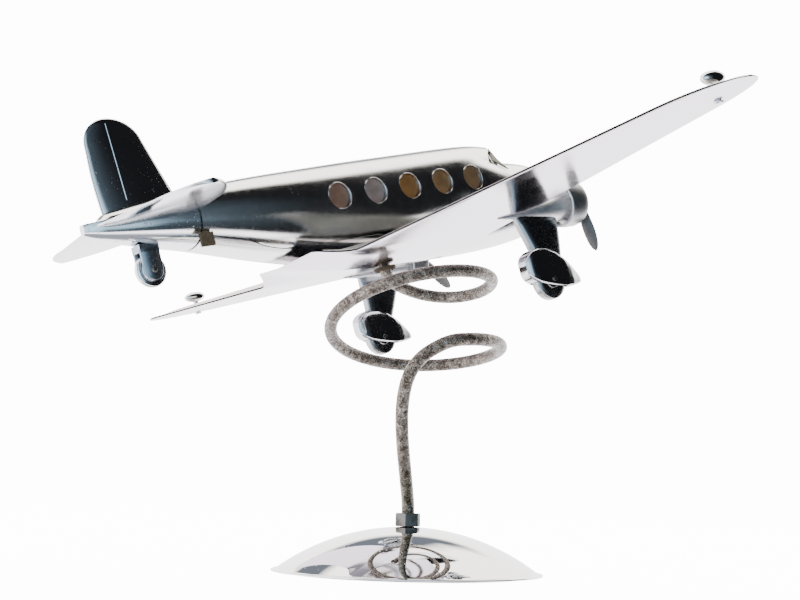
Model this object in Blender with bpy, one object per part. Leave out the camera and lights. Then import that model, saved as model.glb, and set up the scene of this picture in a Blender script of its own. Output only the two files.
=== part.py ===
"""Desktop airliner model: a chromed twin-engine airliner on a coiled rod over a domed base.

Lengths below are in millimetres and become metres in the scene through MM.
The stand is modelled in the part's own frame: origin at the middle of the base, +Z up.
The aircraft is modelled in its airframe's frame: +X forward, +Y port, +Z up, with its origin where
the rod enters the belly. An empty places that frame on the rod, nose up and left wing low.
"""

import bmesh
import bpy
import numpy as np
from math import cos, pi, radians, sin
from mathutils import Euler, Matrix, Vector

MM = 0.001
GAP = 0.3

# Stand
BASE_RADIUS = 49.5
DOME_HEIGHT = 17.2
DOME_WALL = 1.2
RIM_WIDTH = 1.4
RIM_BOTTOM = 0.6
WEIGHT_RADIUS = 38.0
WEIGHT_HEIGHT = 6.0
PAD_RADIUS = 44.0
PAD_THICKNESS = 1.0
ROD_RADIUS = 2.35
ROD_START = 4.0
ROD_STRAIGHT_TOP = 24.5
NUT_ACROSS_FLATS = 8.4
NUT_HEIGHT = 4.8

# Coil of the rod: centre at zero angle, axis, radius, rise per turn and the angles it spans
COIL_CENTRE = Vector((0.2, -2.9, 80.0))
COIL_AXIS = Vector((0.2565, -0.0493, 0.9653)).normalized()
COIL_START_SIDE = Vector((-0.6093, -0.7731, 0.1225))
COIL_RADIUS = 31.35
COIL_PITCH = 26.4
COIL_FROM = -92.0
COIL_TO = 424.0

# Airframe placement
BELLY_POINT = Vector((22.5, -3.3, 117.8))
NOSE_UP = 13.76
LEFT_WING_LOW = 7.51
HEADING = -90.0

# Fuselage stations: x, half width, bottom z, top z
STATIONS = (
    (-124.0, 1.4, 24.8, 28.4),
    (-121.5, 3.0, 23.6, 30.0),
    (-116.0, 5.0, 21.9, 31.3),
    (-105.6, 7.9, 19.4, 33.0),
    (-85.0, 12.2, 15.2, 35.8),
    (-60.0, 16.0, 9.1, 38.0),
    (-36.0, 18.3, 4.0, 39.2),
    (-13.0, 19.2, 0.4, 40.2),
    (12.0, 19.4, -1.3, 41.0),
    (46.0, 18.6, -1.6, 41.9),
    (64.0, 16.8, -0.6, 41.2),
    (78.0, 14.0, 1.4, 38.0),
    (90.0, 10.8, 4.6, 32.0),
    (100.0, 7.0, 8.6, 25.6),
    (106.0, 3.4, 12.2, 20.4),
    (108.0, 1.2, 14.6, 17.6),
)
SECTION_POWER = 2.35
SHELL_WALL = 1.3
HOOD = ((66.0, 35.6), (72.7, 33.6), (80.0, 32.6), (88.0, 30.6), (96.0, 27.0))
SCREEN_TOP = (68.6, 41.0)
SCREEN_FOOT = (73.0, 33.6)
SCREEN_SWEEP = 13.5
TAIL_JOINT_X = -84.5
TAIL_SPLIT_Z = 28.6
SHELL_REAR_X = -117.5
SEAM_RISE = 3.4
WING_SEAM_Z = 8.6

# Wing: edges and lower surface against the distance y from the centre line
WING_SPAN_HALF = 179.5
TIP_START = 154.0
FILLET_START = 32.0
FILLET_END = 18.0
FILLET_SWEEP = 7.0
FILLET_RISE = 5.0
TRAILING = (-42.1, 0.192)
LEADING = (36.8, -0.098)
LOWER_Z = (-1.3, 0.082)
WING_DEPTH_ROOT = 8.2
WING_DEPTH_TIP = 3.0
SKIN_EDGE = 0.42
SKIN_MIDDLE = 1.1

# Tail surfaces
FIN_THICKNESS = 3.0
STAB_HALF_SPAN = 55.0
STAB_Z = 26.8
STAB_THICKNESS = 2.8

# Windows
WINDOW_PITCH = 17.0
WINDOW_MIDDLE_X = 6.5
WINDOW_Z = 24.9
WINDOW_HOLE_RADIUS = 5.2
WINDOW_DISC_RADIUS = 4.85
WINDOW_DISC_THICKNESS = 0.8

# Engines and landing gear; y is the distance from the centre line
ENGINE_Y = 49.0
ENGINE_Z = 4.6
NACELLE_TAIL_X = 17.6
NACELLE_FRONT_X = 53.4
NACELLE_RADIUS = 3.9
COWL_REAR_X = 50.5
COWL_FRONT_X = 60.0
COWL_RADIUS = 9.0
COWL_WALL = 0.8
PROP_X = 63.0
PROP_RADIUS = 20.4
PROP_HUB_RADIUS = 2.7
PIN_RADIUS = 1.0
SPAT_Y = {1: 54.4, -1: 51.0}
GEAR_DROP = {1: 1.3, -1: 0.0}
SPAT_HALF_WIDTH = 3.9
WHEEL_X = 33.4
WHEEL_Z = -23.6
WHEEL_RADIUS = 7.3
WHEEL_HALF_WIDTH = 2.4
AXLE_RADIUS = 0.9

# Tail wheel
TAIL_WHEEL_X = -101.7
TAIL_WHEEL_Z = 9.8
TAIL_WHEEL_RADIUS = 5.9
TAIL_WHEEL_HALF_WIDTH = 1.5
FORK_INNER_Y = 1.9
FORK_WALL = 0.9
FORK_HALF_LENGTH = 3.8

# Wing-tip lamps
LAMP_X = 14.0
LAMP_Y = 160.0
LAMP_Z = 19.2
LAMP_RADII = (5.5, 2.5, 2.4)
LAMP_PIN_RADIUS = 0.9

COLORS = {
    "chrome": ((0.80, 0.81, 0.82), 0.08, 1.0),
    "pitted_chrome": ((0.62, 0.64, 0.66), 0.22, 1.0),
    "plated_rod": ((0.38, 0.34, 0.29), 0.35, 1.0),
    "dark_steel": ((0.22, 0.20, 0.17), 0.5, 1.0),
    "cast_iron": ((0.08, 0.08, 0.08), 0.7, 0.6),
    "felt": ((0.05, 0.12, 0.07), 0.95, 0.0),
    "copper": ((0.62, 0.36, 0.22), 0.35, 0.8),
    "brown_steel": ((0.30, 0.22, 0.12), 0.6, 0.8),
}


def clear_scene():
    for obj in list(bpy.data.objects):
        bpy.data.objects.remove(obj, do_unlink=True)


def material_for(part_name, kind):
    color, roughness, metallic = COLORS[kind]
    material = bpy.data.materials.new(part_name)
    material.use_nodes = True
    shader = material.node_tree.nodes["Principled BSDF"]
    shader.inputs["Base Color"].default_value = (*color, 1.0)
    shader.inputs["Roughness"].default_value = roughness
    shader.inputs["Metallic"].default_value = metallic
    return material


def new_object(name, points, faces, kind, parent=None):
    """A mesh object from points in millimetres, with its faces turned outwards."""
    mesh = bpy.data.meshes.new(name)
    mesh.from_pydata([tuple(c * MM for c in p) for p in points], [], faces)
    work = bmesh.new()
    work.from_mesh(mesh)
    bmesh.ops.remove_doubles(work, verts=work.verts, dist=1e-7)
    bmesh.ops.recalc_face_normals(work, faces=work.faces)
    work.to_mesh(mesh)
    work.free()
    mesh.shade_smooth()
    mesh.set_sharp_from_angle(angle=radians(35))
    obj = bpy.data.objects.new(name, mesh)
    bpy.context.scene.collection.objects.link(obj)
    if kind:
        mesh.materials.append(material_for(name, kind))
    else:
        obj.hide_render = True
        obj.display_type = "WIRE"
    obj.parent = parent
    return obj


def combine(target, other, operation):
    modifier = target.modifiers.new(f"{operation}_{other.name}", "BOOLEAN")
    modifier.operation = operation
    modifier.object = other


def grid_faces(rows, columns, wrap):
    """Quads between the rows of a grid whose points run row by row."""
    last = columns if wrap else columns - 1
    return [
        (r * columns + c, r * columns + (c + 1) % columns,
         (r + 1) * columns + (c + 1) % columns, (r + 1) * columns + c)
        for r in range(rows - 1)
        for c in range(last)
    ]


def loft(name, rings, kind, parent=None):
    """A closed solid through rings of equal length, with flat ends."""
    columns = len(rings[0])
    points = [p for ring in rings for p in ring]
    faces = grid_faces(len(rings), columns, wrap=True)
    faces.append(tuple(range(columns)))
    faces.append(tuple(range(len(points) - columns, len(points))))
    return new_object(name, points, faces, kind, parent)


def turned(name, profile, kind, parent=None, sides=32, axis="X", centre=(0, 0, 0)):
    """A solid of revolution from a closed profile of (along, radius) points."""
    rings = []
    for step in range(sides):
        angle = 2 * pi * step / sides
        ring = []
        for along, radius in profile:
            a, b = radius * cos(angle), radius * sin(angle)
            local = {"X": (along, a, b), "Y": (a, along, b), "Z": (a, b, along)}[axis]
            ring.append(tuple(local[i] + centre[i] for i in range(3)))
        rings.append(ring)
    columns = len(profile)
    points = [p for ring in rings for p in ring]
    faces = [
        (r * columns + c, r * columns + (c + 1) % columns,
         (r + 1) % sides * columns + (c + 1) % columns, (r + 1) % sides * columns + c)
        for r in range(sides)
        for c in range(columns)
    ]
    return new_object(name, points, faces, kind, parent)


def rod_solid(name, start, end, radius, kind, parent=None, sides=16):
    """A straight cylinder between two points."""
    start, end = Vector(start), Vector(end)
    along = (end - start).normalized()
    side = along.orthogonal().normalized()
    up = along.cross(side)
    rings = [
        [centre + radius * (cos(a) * side + sin(a) * up)
         for a in (2 * pi * k / sides for k in range(sides))]
        for centre in (start, end)
    ]
    return loft(name, rings, kind, parent)


def box_solid(name, low, high, kind=None, parent=None):
    (x0, y0, z0), (x1, y1, z1) = low, high
    rings = [[(x0, y0, z), (x1, y0, z), (x1, y1, z), (x0, y1, z)] for z in (z0, z1)]
    return loft(name, rings, kind, parent)


def spline(knots, values, x):
    """Natural cubic spline through the knots."""
    knots, values = np.asarray(knots, float), np.asarray(values, float)
    n = len(knots)
    h = np.diff(knots)
    matrix, right = np.eye(n), np.zeros(n)
    for i in range(1, n - 1):
        matrix[i, i - 1:i + 2] = h[i - 1], 2 * (h[i - 1] + h[i]), h[i]
        right[i] = 6 * ((values[i + 1] - values[i]) / h[i] - (values[i] - values[i - 1]) / h[i - 1])
    bend = np.linalg.solve(matrix, right)
    i = int(np.clip(np.searchsorted(knots, x) - 1, 0, n - 2))
    a, b = knots[i + 1] - x, x - knots[i]
    return (bend[i] * a ** 3 + bend[i + 1] * b ** 3) / (6 * h[i]) \
        + (values[i] / h[i] - bend[i] * h[i] / 6) * a \
        + (values[i + 1] / h[i] - bend[i + 1] * h[i] / 6) * b


# ---------------------------------------------------------------- stand

def dome_profile(inset):
    """Outer (inset 0) or inner arc of the dome, from the apex hole to the rim, as (z, radius)."""
    foot = BASE_RADIUS - RIM_WIDTH - inset
    height = DOME_HEIGHT - inset - RIM_BOTTOM - 0.6
    sphere = (foot ** 2 + height ** 2) / (2 * height)
    top = RIM_BOTTOM + 0.6 + height
    hole = ROD_RADIUS + GAP
    radii = [hole + (foot - hole) * k / 8 for k in range(9)]
    return [(top - sphere + (sphere ** 2 - r ** 2) ** 0.5, r) for r in radii]


def build_base():
    outer = dome_profile(0.0)
    inner = dome_profile(DOME_WALL)
    rim = [
        (RIM_BOTTOM + 1.0, BASE_RADIUS - 1.2),
        (RIM_BOTTOM + 0.9, BASE_RADIUS - 0.3),
        (RIM_BOTTOM + 0.5, BASE_RADIUS),
        (RIM_BOTTOM, BASE_RADIUS - 0.4),
        (RIM_BOTTOM, BASE_RADIUS - RIM_WIDTH - DOME_WALL),
    ]
    turned("base_dome", outer + rim + inner[::-1][1:], "chrome", sides=40, axis="Z")
    weight_top = PAD_THICKNESS + GAP + WEIGHT_HEIGHT
    pocket = PAD_THICKNESS + GAP + 3.6
    weight = [
        (PAD_THICKNESS + GAP, 7.4), (PAD_THICKNESS + GAP, WEIGHT_RADIUS),
        (weight_top - 3.0, WEIGHT_RADIUS), (weight_top, WEIGHT_RADIUS - 7.0),
        (weight_top, ROD_RADIUS + GAP), (pocket, ROD_RADIUS + GAP), (pocket, 7.4),
    ]
    turned("base_weight", weight, "cast_iron", sides=40, axis="Z")
    pad = [
        (0.0, 0.0), (0.0, PAD_RADIUS), (PAD_THICKNESS, PAD_RADIUS), (PAD_THICKNESS, 0.0),
    ]
    disc("base_pad", pad, "felt")


def disc(name, profile, kind, parent=None, sides=40, axis="Z"):
    """A turned solid whose profile starts and ends on the axis."""
    return turned(name, profile, kind, parent, sides, axis)


def build_nut(name, bottom, parent=None, place=None):
    """A hexagon nut with a plain bore, standing on bottom and turned a little from square."""
    corner = NUT_ACROSS_FLATS / 2 / cos(pi / 6)
    bore = ROD_RADIUS + GAP
    sides = 24
    rings = []
    for z, scale in ((bottom, 0.97), (bottom + 0.4, 1.0), (bottom + NUT_HEIGHT - 0.4, 1.0),
                     (bottom + NUT_HEIGHT, 0.97)):
        ring = []
        for k in range(sides):
            angle = 2 * pi * k / sides
            away = (angle % (pi / 3)) - pi / 6
            flat = NUT_ACROSS_FLATS / 2 / cos(away)
            ring.append((scale * min(flat, corner) * cos(angle), scale * min(flat, corner) * sin(angle), z))
        rings.append(ring)
    points = [p for ring in rings for p in ring]
    for z in (bottom + NUT_HEIGHT, bottom):
        points += [(bore * cos(2 * pi * k / sides), bore * sin(2 * pi * k / sides), z) for k in range(sides)]
    count = len(rings) + 2
    faces = grid_faces(count, sides, wrap=True)
    faces += [
        ((count - 1) * sides + c, (count - 1) * sides + (c + 1) % sides, (c + 1) % sides, c)
        for c in range(sides)
    ]
    if place:
        points = [place @ Vector(p) for p in points]
    return new_object(name, points, faces, "dark_steel", parent)


def coil_point(degrees):
    across = COIL_AXIS.cross(COIL_START_SIDE).normalized()
    side = across.cross(COIL_AXIS)
    angle = radians(degrees)
    rise = COIL_PITCH * degrees / 360
    return COIL_CENTRE + COIL_AXIS * rise + COIL_RADIUS * (cos(angle) * side + sin(angle) * across)


def eased(points, places):
    """Takes the kinks out of a route where its parts meet."""
    for _ in range(3):
        for i in places:
            points[i] = (points[i - 1] + 2 * points[i] + points[i + 1]) / 4
    return points


def rod_route():
    """Through points of the rod: up out of the nut, leaning post, coil, and up into the belly."""
    up = airframe_axes() @ Vector((0, 0, 1))
    post = [Vector((0, 0, ROD_START)), Vector((0, 0, 14)), Vector((0, 0, ROD_STRAIGHT_TOP)),
            Vector((-3.2, 3.6, 31.5)), Vector((-11.6, 13.2, 49.0)), Vector((-18.6, 21.2, 64.5)),
            Vector((-21.6, 24.4, 73.4))]
    coil = [coil_point(COIL_FROM + (COIL_TO - COIL_FROM) * k / 44) for k in range(45)]
    lead_in = [Vector((30.0, -21.6, 107.4)), Vector((27.4, -14.4, 109.2)),
               Vector((24.0, -8.2, 111.0)), BELLY_POINT - 4.0 * up,
               BELLY_POINT - 2.0 * up, BELLY_POINT + 8.0 * up]
    return eased(post + coil + lead_in, (5, 6, 7, 8, -9, -8, -7, -6, -5))


def smooth_route(points, per_span):
    """Catmull-Rom curve through the points, one or more points for each span."""
    ends = [2 * points[0] - points[1]] + points + [2 * points[-1] - points[-2]]
    route = []
    for i in range(1, len(ends) - 2):
        p0, p1, p2, p3 = ends[i - 1:i + 3]
        steps = per_span(i - 1)
        for k in range(steps):
            t = k / steps
            route.append(0.5 * (2 * p1 + (p2 - p0) * t + (2 * p0 - 5 * p1 + 4 * p2 - p3) * t * t
                                + (3 * p1 - p0 - 3 * p2 + p3) * t ** 3))
    return route + [points[-1]]


def build_rod():
    points = rod_route()
    bends = {3, 5, 6, 7, len(points) - 8, len(points) - 7, len(points) - 5, len(points) - 4}
    route = smooth_route(points, lambda span: 2 if span in bends else 1)
    curve = bpy.data.curves.new("stand_rod", "CURVE")
    curve.dimensions = "3D"
    curve.bevel_depth = ROD_RADIUS * MM
    curve.bevel_resolution = 2
    curve.use_fill_caps = True
    line = curve.splines.new("POLY")
    line.points.add(len(route) - 1)
    for point, place in zip(line.points, route):
        point.co = (*(place * MM), 1.0)
    curve.materials.append(material_for("stand_rod", "plated_rod"))
    rod = bpy.data.objects.new("stand_rod", curve)
    bpy.context.scene.collection.objects.link(rod)


def build_stand():
    build_base()
    nut_bottom = DOME_HEIGHT + 0.15
    build_nut("stand_nut", nut_bottom)
    flat = Matrix.Translation((0, 0, PAD_THICKNESS + GAP)) @ Matrix.Scale(0.5, 4, Vector((0, 0, 1)))
    build_nut("lower_nut", 0.0, place=flat)
    washer_top = PAD_THICKNESS + GAP + 3.6
    washer = [(washer_top - 0.9, 6.6), (washer_top - 0.3, 6.6),
              (washer_top - 0.3, ROD_RADIUS + GAP), (washer_top - 0.9, ROD_RADIUS + GAP)]
    turned("lower_washer", washer, "dark_steel", sides=24, axis="Z")
    build_rod()


# ---------------------------------------------------------------- airframe

def airframe_axes():
    turn = Euler((radians(-LEFT_WING_LOW), radians(-NOSE_UP), radians(HEADING)), "XYZ")
    return turn.to_matrix()


def build_airframe_empty():
    empty = bpy.data.objects.new("airframe", None)
    empty.location = BELLY_POINT * MM
    empty.rotation_euler = (radians(-LEFT_WING_LOW), radians(-NOSE_UP), radians(HEADING))
    bpy.context.scene.collection.objects.link(empty)
    return empty


def station(x):
    """Half width, bottom and top of the fuselage at x, with the step of the windscreen."""
    knots = [s[0] for s in STATIONS]
    half, bottom, top = (spline(knots, [s[i] for s in STATIONS], x) for i in (1, 2, 3))
    if x >= SCREEN_FOOT[0]:
        hood = spline([h[0] for h in HOOD], [h[1] for h in HOOD], min(x, HOOD[-1][0]))
        top = min(top, hood)
    elif x > SCREEN_TOP[0]:
        share = (x - SCREEN_TOP[0]) / (SCREEN_FOOT[0] - SCREEN_TOP[0])
        top = SCREEN_TOP[1] + share * (SCREEN_FOOT[1] - SCREEN_TOP[1])
    return half, bottom, top


def section_point(x, angle, inset=0.0):
    """Point on the fuselage skin; the angle runs from port (0) over the top (90) to starboard."""
    half, bottom, top = station(x)
    half, rise = max(half - inset, 0.4), max((top - bottom) / 2 - inset, 0.6)
    c, s = cos(angle), sin(angle)
    power = 2 / SECTION_POWER
    y = half * (abs(c) ** power) * (1 if c >= 0 else -1)
    z = (top + bottom) / 2 + rise * (abs(s) ** power) * (1 if s >= 0 else -1)
    return y, z


def swept(x, y, z):
    """Moves a point of the cabin back towards the sides, so that the windscreen is a V from above."""
    ahead = min(1.0, max(0.0, (x - 36) / 30)) * min(1.0, max(0.0, (97 - x) / 22))
    above = min(1.0, max(0.0, (z - 22) / 10))
    return (x - SCREEN_SWEEP * ahead * above * min(1.0, abs(y) / 14) ** 1.2, y, z)


def seam_z(x):
    """Height of the fuselage shell's lower edge."""
    _, bottom, top = station(x)
    near_wing = min(1.0, max(0.0, (x + 66) / 26)) * min(1.0, max(0.0, (88 - x) / 30))
    seam = bottom + SEAM_RISE + near_wing * (WING_SEAM_Z - bottom - SEAM_RISE)
    return min(seam, bottom + 0.62 * (top - bottom))


def cut_angle(x, z):
    """Section angle at which the port side of the skin is at height z."""
    _, bottom, top = station(x)
    rise = (top - bottom) / 2
    share = max(-0.999, min(0.999, (z - (top + bottom) / 2) / rise))
    s = abs(share) ** (SECTION_POWER / 2) * (1 if share >= 0 else -1)
    return np.arcsin(s)


def stations_between(start, end, count):
    return [start + (end - start) * k / (count - 1) for k in range(count)]


def shell_stations():
    return (stations_between(SHELL_REAR_X, TAIL_JOINT_X - 0.2, 5)
            + stations_between(TAIL_JOINT_X + 0.2, 60.0, 12)
            + [65.0, SCREEN_TOP[0], SCREEN_FOOT[0], 78.0, 84.0, 90.0, 96.0, 101.0, 105.0, 107.3])


def upper_ring(x, low_z, inset=0.0, sides=18):
    """Closed section of the skin above low_z, with a straight line across its foot."""
    start = cut_angle(x, low_z)
    ring = []
    for k in range(sides + 1):
        y, z = section_point(x, start + (pi - 2 * start) * k / sides, inset)
        ring.append(swept(x, y, z))
    return ring


def lower_ring(x, high_z, inset=0.0, sides=12):
    start = cut_angle(x, high_z)
    ring = []
    for k in range(sides + 1):
        y, z = section_point(x, start - (pi + 2 * start) * k / sides, inset)
        ring.append((x, y, z))
    return ring


def build_fuselage(airframe):
    rings = [upper_ring(x, TAIL_SPLIT_Z if x < TAIL_JOINT_X else seam_z(x)) for x in shell_stations()]
    shell = loft("fuselage_shell", rings, "chrome", airframe)
    hollow_rings = []
    for x in stations_between(-112.0, 64.0, 12) + [68.0, 72.0, 78.0, 84.0, 90.0, 96.0]:
        low = (TAIL_SPLIT_Z if x < TAIL_JOINT_X else seam_z(x)) - 3.0
        half, _, _ = station(x)
        ring = [(x, half - SHELL_WALL, low)]
        for k in range(13):
            start = cut_angle(x, low + 3.0)
            y, z = section_point(x, start + (pi - 2 * start) * k / 12, SHELL_WALL)
            ring.append(swept(x, y, z))
        ring.append((x, -(half - SHELL_WALL), low))
        hollow_rings.append(ring)
    combine(shell, loft("cut_cabin", hollow_rings, None, airframe), "DIFFERENCE")
    return shell


def window_centres():
    for index in range(5):
        x = WINDOW_MIDDLE_X + WINDOW_PITCH * (index - 2)
        yield index + 1, x, WINDOW_Z + 0.015 * x


def skin_half_width(x, z):
    return section_point(x, cut_angle(x, z))[0]


def build_windows(airframe, shell):
    for index, x, z in window_centres():
        half = skin_half_width(x, z)
        through = rod_solid(f"cut_window_{index}", (x, -30, z), (x, 30, z), WINDOW_HOLE_RADIUS, None,
                            airframe, sides=16)
        combine(shell, through, "DIFFERENCE")
        for side, sign in (("left", 1), ("right", -1)):
            inner = half - 1.6
            rod_solid(f"window_{side}_{index}", (x, sign * (inner - WINDOW_DISC_THICKNESS), z),
                      (x, sign * inner, z), WINDOW_DISC_RADIUS, "copper", airframe, sides=20)


def build_windscreen(airframe):
    """Two front panes on the step of the roof and one small pane round each corner."""
    def on_screen(angle, share):
        """Point on the step of the roof, from its top (share 0) to its foot (share 1)."""
        ends = []
        for x in (SCREEN_TOP[0], SCREEN_FOOT[0]):
            ends.append(Vector(swept(x, *section_point(x, angle))))
        return ends[0].lerp(ends[1], share)

    for name, low, high in (("windscreen", 55, 86), ("side_pane", 35, 49)):
        for side, sign in (("left", 1), ("right", -1)):
            corners = [on_screen(radians(a), t)
                       for a, t in ((high, 0.12), (low, 0.12), (low, 0.9), (high, 0.9))]
            out = (corners[1] - corners[0]).cross(corners[3] - corners[0]).normalized()
            out = -out if out.x < 0 else out
            rings = []
            for lift in (0.5, 1.0):
                places = [corner + out * lift for corner in corners]
                rings.append([(p.x, sign * p.y, p.z) for p in places])
            loft(f"{name}_{side}", rings, "copper", airframe)


def fillet(y):
    """How far y has come into the root fillet: 0 outboard of it, 1 at the fuselage."""
    y = max(abs(y), FILLET_END)
    return max(0.0, (FILLET_START - y) / (FILLET_START - FILLET_END))


def wing_edges(y):
    """Trailing and leading edge x at distance y from the centre line, with a rounded tip."""
    y = abs(y)
    rear = TRAILING[0] + TRAILING[1] * y - FILLET_SWEEP * fillet(y) ** 1.6
    front = LEADING[0] + LEADING[1] * y
    if y > TIP_START:
        share = min(1.0, (y - TIP_START) / (WING_SPAN_HALF - TIP_START))
        keep = max(0.08, (1 - share ** 2) ** 0.5)
        middle, half = (rear + front) / 2, (front - rear) / 2
        rear, front = middle - half * keep, middle + half * keep
    return rear, front


def wing_depth(y):
    share = min(1.0, abs(y) / WING_SPAN_HALF)
    return WING_DEPTH_ROOT + (WING_DEPTH_TIP - WING_DEPTH_ROOT) * share ** 0.8


def wing_z(y, share):
    """Lower skin height at a share of the chord from the trailing edge."""
    rise = FILLET_RISE * fillet(y) ** 1.5 * max(0.0, 1 - 1.8 * share) ** 2
    return LOWER_Z[0] + LOWER_Z[1] * abs(y) + rise


def skin_thickness(share):
    return SKIN_EDGE + (SKIN_MIDDLE - SKIN_EDGE) * sin(pi * share)


def wing_camber(share):
    """Airfoil thickness as a share of its depth, thickest ahead of the middle."""
    return 1.0 * sin(pi * share ** 1.35) ** 0.8 if 0 < share < 1 else 0.0


CHORD_SHARES = (0.0, 0.12, 0.3, 0.5, 0.7, 0.88, 1.0)


def span_places(start):
    straight = [start, 24.0, 28.0, 36.0, 60.0, 90.0, 120.0, TIP_START]
    if start < FILLET_END:
        straight.insert(1, FILLET_END)
    rounded = [TIP_START + (WING_SPAN_HALF - TIP_START) * s for s in (0.35, 0.6, 0.8, 0.93, 1.0)]
    return straight + rounded


def skin_ring(y, sign, upper):
    """Closed chordwise section of one skin at distance y."""
    rear, front = wing_edges(y)
    top, bottom = [], []
    for share in CHORD_SHARES:
        x = rear + (front - rear) * share
        low = wing_z(y, share)
        thick = skin_thickness(share)
        if upper:
            floor = low + thick + GAP
            roof = max(low + wing_depth(y) * wing_camber(share), floor + SKIN_EDGE)
            bottom.append((x, sign * y, max(floor, roof - SKIN_MIDDLE)))
            top.append((x, sign * y, roof))
        else:
            bottom.append((x, sign * y, low))
            top.append((x, sign * y, low + thick))
    return bottom + top[::-1]


def build_wing(airframe):
    places = span_places(0.0)
    signed = [(-y, y) for y in places[:0:-1]] + [(y, y) for y in places]
    rings = [skin_ring(y, 1 if place >= 0 else -1, upper=False) for place, y in signed]
    lower = loft("wing_lower", rings, "chrome", airframe)
    pan_rings = []
    for x in [TAIL_JOINT_X + 0.4] + [x for x in shell_stations() if TAIL_JOINT_X + 1 < x < 102]:
        pan_rings.append(lower_ring(x, seam_z(x) - GAP))
    combine(lower, loft("join_belly", pan_rings, None, airframe), "UNION")
    hollow_rings = []
    for x in stations_between(TAIL_JOINT_X + 3.0, 94.0, 18):
        ring = lower_ring(x, seam_z(x) - GAP, inset=SHELL_WALL)
        (x0, y0, z0), (x1, y1, z1) = ring[0], ring[-1]
        hollow_rings.append([(x0, y0, z0 + 3.0)] + ring + [(x1, y1, z1 + 3.0)])
    combine(lower, loft("cut_belly", hollow_rings, None, airframe), "DIFFERENCE")
    rod_axis_hole = rod_solid("cut_rod", (0, 0, -8), (0, 0, 12), ROD_RADIUS + GAP, None, airframe)
    combine(lower, rod_axis_hole, "DIFFERENCE")
    for side, sign in (("left", 1), ("right", -1)):
        root = 20.6
        rings = [skin_ring(y, sign, upper=True) for y in span_places(root)]
        upper = loft(f"wing_upper_{side}", rings, "chrome", airframe)
        for skin in (upper, lower):
            hole = rod_solid(f"cut_lamp_{side}_{skin.name}", (LAMP_X, sign * LAMP_Y, 5),
                             (LAMP_X, sign * LAMP_Y, 25), LAMP_PIN_RADIUS + GAP, None, airframe)
            combine(skin, hole, "DIFFERENCE")
        build_lamp(airframe, side, sign)
    return lower


def build_lamp(airframe, side, sign):
    rings = []
    for k in range(1, 10):
        angle = pi * k / 10
        x = LAMP_X - LAMP_RADII[0] * cos(angle)
        rings.append([(x, sign * LAMP_Y + LAMP_RADII[1] * sin(angle) * cos(a),
                       LAMP_Z + LAMP_RADII[2] * sin(angle) * sin(a))
                      for a in (2 * pi * j / 16 for j in range(16))])
    loft(f"tip_lamp_{side}", rings, "chrome", airframe)
    low = wing_z(LAMP_Y, 0.5)
    y = sign * LAMP_Y
    top = LAMP_Z - LAMP_RADII[2] - GAP
    profile = [(low - 1.0, 0.0), (low - 1.0, 1.4), (low - GAP, 1.7), (low - GAP, LAMP_PIN_RADIUS),
               (top, LAMP_PIN_RADIUS), (top, 0.0)]
    turned(f"lamp_pin_{side}", profile, "pitted_chrome", airframe, sides=16, axis="Z",
           centre=(LAMP_X, y, 0))


def fin_outline(share):
    """Trailing x, leading x and height of the fin at a share of its height."""
    rear = -115.0 - 0.9 * sin(pi * min(share, 0.62) / 0.9)
    front = -85.6 - 11.0 * share
    if share > 0.72:
        bend = (share - 0.72) / 0.28
        keep = max(0.22, (1 - bend ** 2.4) ** 0.5)
        middle, half = (rear + front) / 2 + 0.6, (front - rear) / 2
        rear, front = middle - half * keep, middle + half * keep
    return rear, front


def build_fin(airframe):
    rings = []
    for share in (0.0, 0.15, 0.3, 0.45, 0.6, 0.72, 0.82, 0.9, 0.96, 0.99, 1.0):
        rear, front = fin_outline(share)
        ring = []
        for port in (1, -1):
            chord = CHORD_SHARES if port == 1 else CHORD_SHARES[::-1]
            for along in chord:
                x = rear + (front - rear) * along
                foot = station(max(x, SHELL_REAR_X))[2] + 0.35
                thick = FIN_THICKNESS / 2 * (1 - 0.55 * share) * max(0.22, wing_camber(along))
                ring.append((x, port * thick, foot + (64.6 - foot) * share))
        rings.append(ring)
    loft("fin", rings, "chrome", airframe)


def stab_edges(y):
    rear = -120.5 + 0.17 * y
    front = -82.0 - 0.19 * y
    start = 34.0
    if y > start:
        share = (y - start) / (STAB_HALF_SPAN - start)
        keep = max(0.12, (1 - min(1.0, share) ** 2.2) ** 0.5)
        middle, half = (rear + front) / 2 - 3.0 * share, (front - rear) / 2
        rear, front = middle - half * keep, middle + half * keep
    return rear, front


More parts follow.
